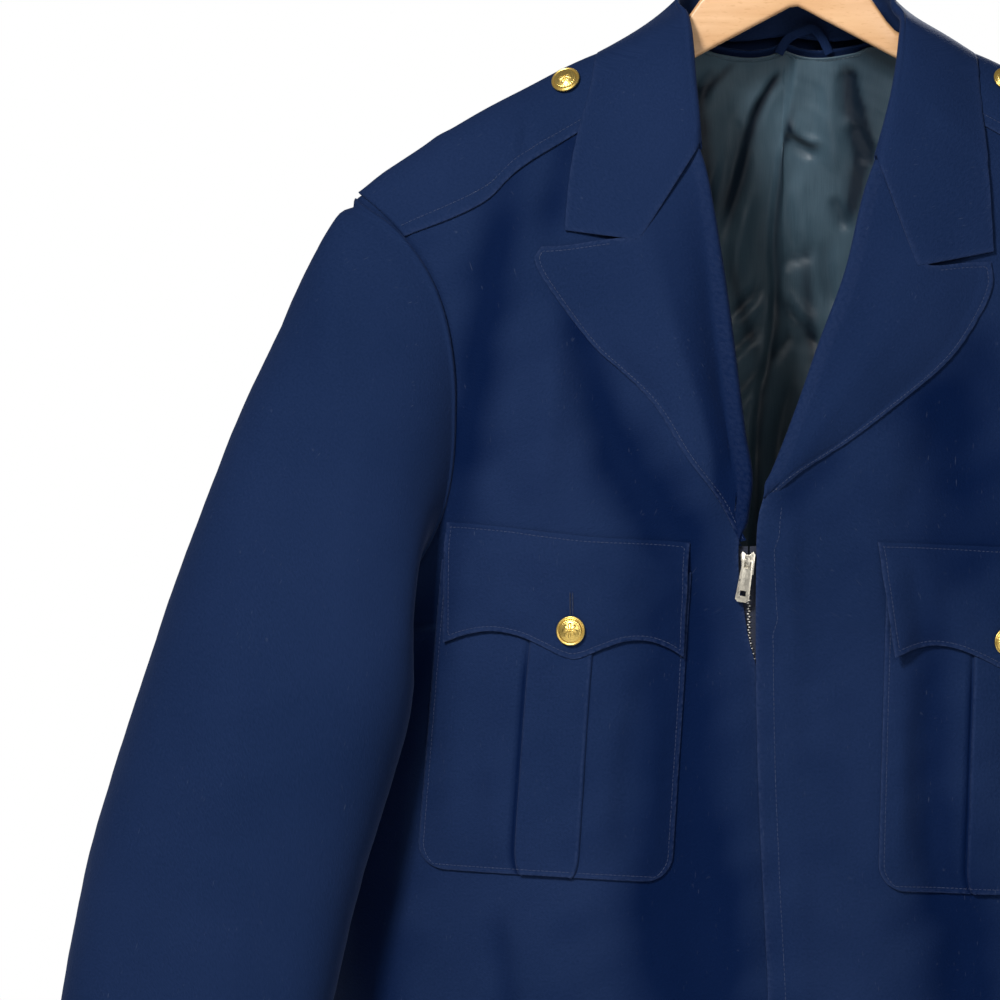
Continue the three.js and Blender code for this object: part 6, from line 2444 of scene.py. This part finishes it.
def metal_copy(node: str, name: str, finish: Finish, body: str, bevel: float) -> Piece:
    """Makes a bevelled copy of a packed metal part.

    Args:
        node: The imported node.
        name: The piece's name.
        finish: Its finish.
        body: The body it rides on.
        bevel: Width of the rounded edges in millimetres.

    Returns:
        The piece.
    """
    build = bmesh.new()
    build.from_mesh(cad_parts[node].data)
    bmesh.ops.remove_doubles(build, verts=build.verts, dist=2e-5)
    bmesh.ops.dissolve_limit(build, angle_limit=math.radians(2), verts=build.verts, edges=build.edges)
    bmesh.ops.recalc_face_normals(build, faces=build.faces)
    mesh = closed_mesh(name, build)
    mesh.materials.clear()
    mesh.materials.append(finish.material())
    mesh.shade_smooth()
    item = linked(name, mesh)
    rounding = item.modifiers.new("rounded_edges", "BEVEL")
    rounding.width = bevel * MM
    rounding.segments = 3
    rounding.limit_method = "ANGLE"
    rounding.angle_limit = math.radians(28)
    rounding.harden_normals = True
    return dressed(item, [node], body)


# --- hanger
@dataclass
class Hanger:
    """Plain wooden hanger and its wire hook."""

    half: float = 217.0
    thickness: float = 9.0
    apex: float = -106.0
    apex_x: float = 5.0
    fall: float = 0.53
    crown: float = -72.0
    clear: float = 4.7
    neck_fall: float = 0.62
    neck_from: float = 42.0
    neck_to: float = 62.0
    corner: float = 3.2
    wire: float = 2.0
    inside: float = 17.0
    foot: float = -71.2
    tip: float = -34.0

    def top(self, x: Points) -> Points:
        """Upper outline.

        Args:
            x: Places across.

        Returns:
            Heights.
        """
        out = np.abs(x)
        arm = FORM.ridge(x) - self.clear
        neck = self.crown - self.neck_fall * out
        return neck + (arm - neck) * smooth((out - self.neck_from) / (self.neck_to - self.neck_from))

    def bar(self) -> Piece:
        """Makes the wooden bar.

        Returns:
            The piece.
        """
        near = np.array([0, 0.25, 0.9, 2, 3.6, 5.6])
        x = np.concatenate([-self.half + near, np.linspace(-self.half + 8, self.half - 8, 96),
                            self.half - near[::-1]])
        end = np.clip((self.half - np.abs(x)) / 9.0, 0, 1)
        round_off = np.sqrt(np.maximum(1 - (1 - end) ** 2, 0.0004))
        high, low = self.top(np.clip(x, -208, 208)), self.apex - self.fall * np.abs(x - self.apex_x)
        centre, tall = (high + low) / 2, (high - low) / 2 * round_off
        deep = self.thickness / 2 * round_off
        arc = np.linspace(0, math.pi / 2, 6)
        radius = np.minimum(self.corner, np.minimum(tall, deep) * 0.98)
        rings = []
        for sy, sz, start in ((1, 1, 0), (-1, 1, 1), (-1, -1, 2), (1, -1, 3)):
            for a in arc:
                angle = a + start * math.pi / 2
                y = sy * (deep - radius) + radius * math.cos(angle)
                z = centre + sz * (tall - radius) + radius * math.sin(angle)
                rings.append(stack(x, y, z))
        return dressed(tube("beech_bar", np.array(rings).transpose(1, 0, 2), WOOD), ["hanger"])

    def hook(self) -> Piece:
        """Makes the hook.

        Returns:
            The piece.
        """
        radius = self.inside + self.wire
        angle = np.radians(np.linspace(-60, 215, 15))
        ring = stack(radius * np.cos(angle), 0 * angle, -self.inside + radius * np.sin(angle))
        stem = np.array([(0, 0, self.foot), (0, 0, self.foot + 14), (0.6, 0, self.foot + 26),
                         (4, 0, self.tip - 3)])
        path = spline(np.concatenate([stem, ring])[:, None], np.linspace(0, 1, 170))[:, 0]
        left = np.linalg.norm(path - path[-1], axis=1)
        end = np.clip(left / self.wire, 0, 1)
        radii = self.wire * np.sqrt(np.maximum(1 - (1 - end) ** 2, 0.01))
        return dressed(tube("hook_wire", swept(path, radii, 22), STEEL), ["hook"])


# --- sewing, repeated
class Repeated:
    """Small shapes set along lines by geometry nodes, then made a plain mesh."""

    def __init__(self, name: str) -> None:
        """Builds the node tree with its named inputs.

        Args:
            name: The tree's name.
        """
        self.tree = bpy.data.node_groups.new(name, "GeometryNodeTree")
        put = self.tree.nodes.new
        face = self.tree.interface
        face.new_socket("Geometry", in_out="INPUT", socket_type="NodeSocketGeometry")
        self.inputs = {
            key: face.new_socket(key, in_out="INPUT", socket_type=kind)
            for key, kind in (("Pitch", "NodeSocketFloat"), ("Size", "NodeSocketVector"),
                              ("Unevenness", "NodeSocketFloat"), ("Seed", "NodeSocketInt"),
                              ("Finish", "NodeSocketMaterial"))
        }
        face.new_socket("Geometry", in_out="OUTPUT", socket_type="NodeSocketGeometry")
        start, end = put("NodeGroupInput"), put("NodeGroupOutput")
        curve, spaced = put("GeometryNodeMeshToCurve"), put("GeometryNodeResampleCurve")
        spaced.mode = "LENGTH"
        ball, shaped = put("GeometryNodeMeshUVSphere"), put("GeometryNodeTransform")
        ball.inputs["Segments"].default_value = 6
        ball.inputs["Rings"].default_value = 4
        ball.inputs["Radius"].default_value = 1.0
        tangent, align = put("GeometryNodeInputTangent"), put("FunctionNodeAlignRotationToVector")
        align.axis = "X"
        spread, least, most = put("FunctionNodeRandomValue"), put("ShaderNodeMath"), put("ShaderNodeMath")
        least.operation, most.operation = "SUBTRACT", "ADD"
        least.inputs[0].default_value = 1.0
        most.inputs[0].default_value = 1.0
        place, real = put("GeometryNodeInstanceOnPoints"), put("GeometryNodeRealizeInstances")
        paint = put("GeometryNodeSetMaterial")
        smooth_faces = put("GeometryNodeSetShadeSmooth")
        links = (
            (start, "Geometry", curve, "Mesh"), (curve, "Curve", spaced, "Curve"),
            (start, "Pitch", spaced, "Length"), (ball, "Mesh", shaped, "Geometry"),
            (start, "Size", shaped, "Scale"), (tangent, "Tangent", align, "Vector"),
            (start, "Unevenness", least, 1), (start, "Unevenness", most, 1),
            (least, 0, spread, 2), (most, 0, spread, 3),
            (start, "Seed", spread, "Seed"), (spaced, "Curve", place, "Points"),
            (shaped, "Geometry", place, "Instance"), (align, "Rotation", place, "Rotation"),
            (spread, 1, place, "Scale"), (place, "Instances", real, "Geometry"),
            (real, "Geometry", smooth_faces, "Geometry"), (smooth_faces, "Geometry", paint, "Geometry"),
            (start, "Finish", paint, "Material"), (paint, "Geometry", end, "Geometry"),
        )
        for source, output, target, socket in links:
            self.tree.links.new(source.outputs[output], target.inputs[socket])

    def build(self, name: str, lines: Sequence[Points], pitch: float, size: Sequence[float],
              finish: Finish, unevenness: float = 0.12) -> Piece:
        """Sets the shape along the lines.

        Args:
            name: The piece's name.
            lines: Runs of points in millimetres.
            pitch: Spacing in millimetres.
            size: Half lengths of the shape in millimetres, along the line and across it.
            finish: The material.
            unevenness: Spread of the sizes.

        Returns:
            One plain mesh, riding on the jacket.
        """
        verts, edges = [], []
        for line in lines:
            start = len(verts)
            verts += [tuple(point * MM) for point in line]
            edges += [(k, k + 1) for k in range(start, len(verts) - 1)]
        mesh = bpy.data.meshes.new(f"{name}_runs")
        mesh.from_pydata(verts, edges, [])
        runs = linked(f"{name}_runs", mesh)
        modifier = runs.modifiers.new("repeat", "NODES")
        modifier.node_group = self.tree
        values = {"Pitch": pitch * MM, "Size": [s * MM for s in size], "Unevenness": unevenness,
                  "Seed": SEED, "Finish": finish.material()}
        for key, value in values.items():
            modifier[self.inputs[key].identifier] = value
        bpy.context.view_layer.update()
        graph = bpy.context.evaluated_depsgraph_get()
        done = bpy.data.meshes.new_from_object(runs.evaluated_get(graph))
        runs.modifiers.remove(modifier)
        bpy.data.objects.remove(runs)
        done.name = name
        return dressed(linked(name, done), [])


# --- studio
@dataclass
class Studio:
    """Pale floor, soft light and the camera."""

    floor_z: float = -1.25
    floor_radius: float = 2.6
    camera_place: tuple[float, float, float] = (-0.1566, -5.2, -0.3773)
    lens: float = 341.7
    ambient: float = 0.13

    def world(self) -> None:
        """Pure white behind the jacket, softer light on it."""
        world = bpy.data.worlds.new("studio")
        world.use_nodes = True
        tree = world.node_tree
        tree.nodes.clear()
        seen, light = tree.nodes.new("ShaderNodeBackground"), tree.nodes.new("ShaderNodeBackground")
        seen.inputs["Color"].default_value = (1, 1, 1, 1)
        seen.inputs["Strength"].default_value = 1.0
        light.inputs["Color"].default_value = (0.93, 0.96, 1, 1)
        light.inputs["Strength"].default_value = self.ambient
        path, mix = tree.nodes.new("ShaderNodeLightPath"), tree.nodes.new("ShaderNodeMixShader")
        output = tree.nodes.new("ShaderNodeOutputWorld")
        tree.links.new(path.outputs["Is Camera Ray"], mix.inputs["Fac"])
        tree.links.new(light.outputs[0], mix.inputs[1])
        tree.links.new(seen.outputs[0], mix.inputs[2])
        tree.links.new(mix.outputs[0], output.inputs["Surface"])
        bpy.context.scene.world = world
        bpy.context.scene.view_settings.view_transform = "Standard"

    def light(self, name: str, place: Sequence[float], aim: Sequence[float], size: float,
              power: float) -> None:
        """Adds a square area light.

        Args:
            name: Its name.
            place: Where it stands, in metres.
            aim: Where it looks.
            size: Its side.
            power: Its power in watts.
        """
        data = bpy.data.lights.new(name, "AREA")
        data.size, data.energy = size, power
        item = linked(name, data)
        item.location = place
        item.rotation_euler = (Vector(aim) - Vector(place)).to_track_quat("-Z", "Y").to_euler()

    def floor(self) -> None:
        """Adds the floor."""
        build = bmesh.new()
        sides = 64
        bmesh.ops.create_circle(build, cap_ends=True, segments=sides, radius=self.floor_radius)
        mesh = closed_mesh("floor", build)
        nodes = Nodes("pale_floor")
        grain = nodes.noise(nodes.place(), 6.0, 3.0)
        nodes.set(Base_Color=nodes.mix(grain, (0.9, 0.9, 0.9, 1), (0.94, 0.94, 0.94, 1)), Roughness=0.8)
        mesh.materials.append(nodes.item)
        mesh.transform(Matrix.Translation((0, 0, self.floor_z)))
        linked("floor", mesh)

    def camera(self) -> None:
        """Adds the camera, which looks straight at the jacket's chest."""
        data = bpy.data.cameras.new("camera")
        data.lens = self.lens
        data.sensor_width = 36
        item = linked("camera", data)
        item.location = self.camera_place
        item.rotation_euler = (math.pi / 2, 0, 0)
        bpy.context.scene.camera = item

    def build(self) -> None:
        """Sets the whole studio up."""
        self.world()
        self.floor()
        self.camera()
        self.light("key", (-1.2, -2.3, 1.2), (-0.1, 0, -0.42), 0.6, 80)
        self.light("front", (0.5, -2.8, 0.5), (-0.05, 0, -0.4), 1.2, 15)
        self.light("rear", (0.9, 2.3, 0.8), (0, 0, -0.4), 1.2, 45)


# --- the whole
@dataclass
class Jacket:
    """The jacket on its hanger."""

    panels: Panels = field(default_factory=Panels)
    sleeves: Sleeves = field(default_factory=Sleeves)
    lapels: Lapels = field(default_factory=Lapels)
    collar: Collar = field(default_factory=Collar)
    straps: Straps = field(default_factory=Straps)
    pockets: Pockets = field(default_factory=Pockets)
    lining: Lining = field(default_factory=Lining)
    loop: Loop = field(default_factory=Loop)
    zip: Zip = field(default_factory=Zip)
    hanger: Hanger = field(default_factory=Hanger)
    button: Button = field(default_factory=Button)
    strap_button_x: float = 119.6
    strap_button_z: float = -150.0

    def buttons(self, side: Side) -> None:
        """Seats the flap's and the strap's buttons.

        Args:
            side: The wearer's side.
        """
        pocket = self.pockets.places[side]
        down = self.pockets.button_drop
        x, z = self.pockets.put(pocket, self.pockets.skew(side, 0.0, down), down)
        seats = (
            ("flap", x, z, self.pockets.flap_low + LEAF),
            ("strap", side.value * self.strap_button_x, self.strap_button_z, REST + LEAF + 0.6),
        )
        for kind, x, z, lift in seats:
            at = FORM.on_front(np.array(x), np.array(z), np.array(lift))
            out = FORM.on_front(np.array(x), np.array(z), np.array(lift + 1.0)) - at
            self.button.build(f"{side.word}_{kind}_button", f"{kind}_button_{side.word}",
                              at + out * REST, out)

    def sewing(self) -> None:
        """Adds stitches, buttonholes and the zip's teeth."""
        repeated = Repeated("repeat_along_lines")
        runs = [*self.lapels.stitches, *self.collar.stitches, *self.straps.stitches,
                *self.pockets.stitches, *self.sleeves.cuffs]
        size = (0.95, 0.2, 0.17)
        repeated.build("edge_stitches", runs, 2.4, size, THREAD)
        repeated.build("hem_stitches", self.panels.hems, 3.2, (0.7, 0.18, 0.16), THREAD)
        if self.panels.fly_line is not None:
            repeated.build("fly_stitches", [self.panels.fly_line], 2.6, size, THREAD)
        repeated.build("lining_stitches", [self.lining.top_edge], 2.6, (0.9, 0.2, 0.2), LINING_THREAD)
        holes = [line + np.array([shift, 0, 0]) for line in self.pockets.buttonholes
                 for shift in (-0.7, 0.7)]
        repeated.build("buttonholes", holes, 0.62, (0.42, 0.75, 0.3), HOLE_THREAD, 0.2)
        teeth = [self.zip.teeth_line(side) for side in Side]
        repeated.build("zip_teeth", teeth, self.zip.tooth_pitch, (0.62, 1.1, 1.15), TEETH, 0.02)

    def build(self) -> None:
        """Makes every piece."""
        for side in Side:
            self.panels.front(side)
            self.sleeves.build(side)
            self.lapels.build(side)
            self.straps.build(side)
            self.pockets.pouch(side)
            self.pockets.flap(side)
            self.zip.half(side)
            self.buttons(side)
        self.panels.back()
        self.collar.build()
        self.lining.build()
        self.loop.build()
        metal_copy("zip_slider", "slider_metal", NICKEL, JACKET, 0.3)
        metal_copy("pull_tab", "pull_tab_metal", NICKEL, TAB_BODY, 0.26)
        self.hanger.bar()
        self.hanger.hook()
        self.sewing()


def main() -> None:
    """Builds the scene and logs each piece's face count."""
    logging.basicConfig(level=logging.INFO, format="%(name)s: %(message)s")
    Jacket().build()
    Studio().build()


if __name__ == "__main__":
    main()
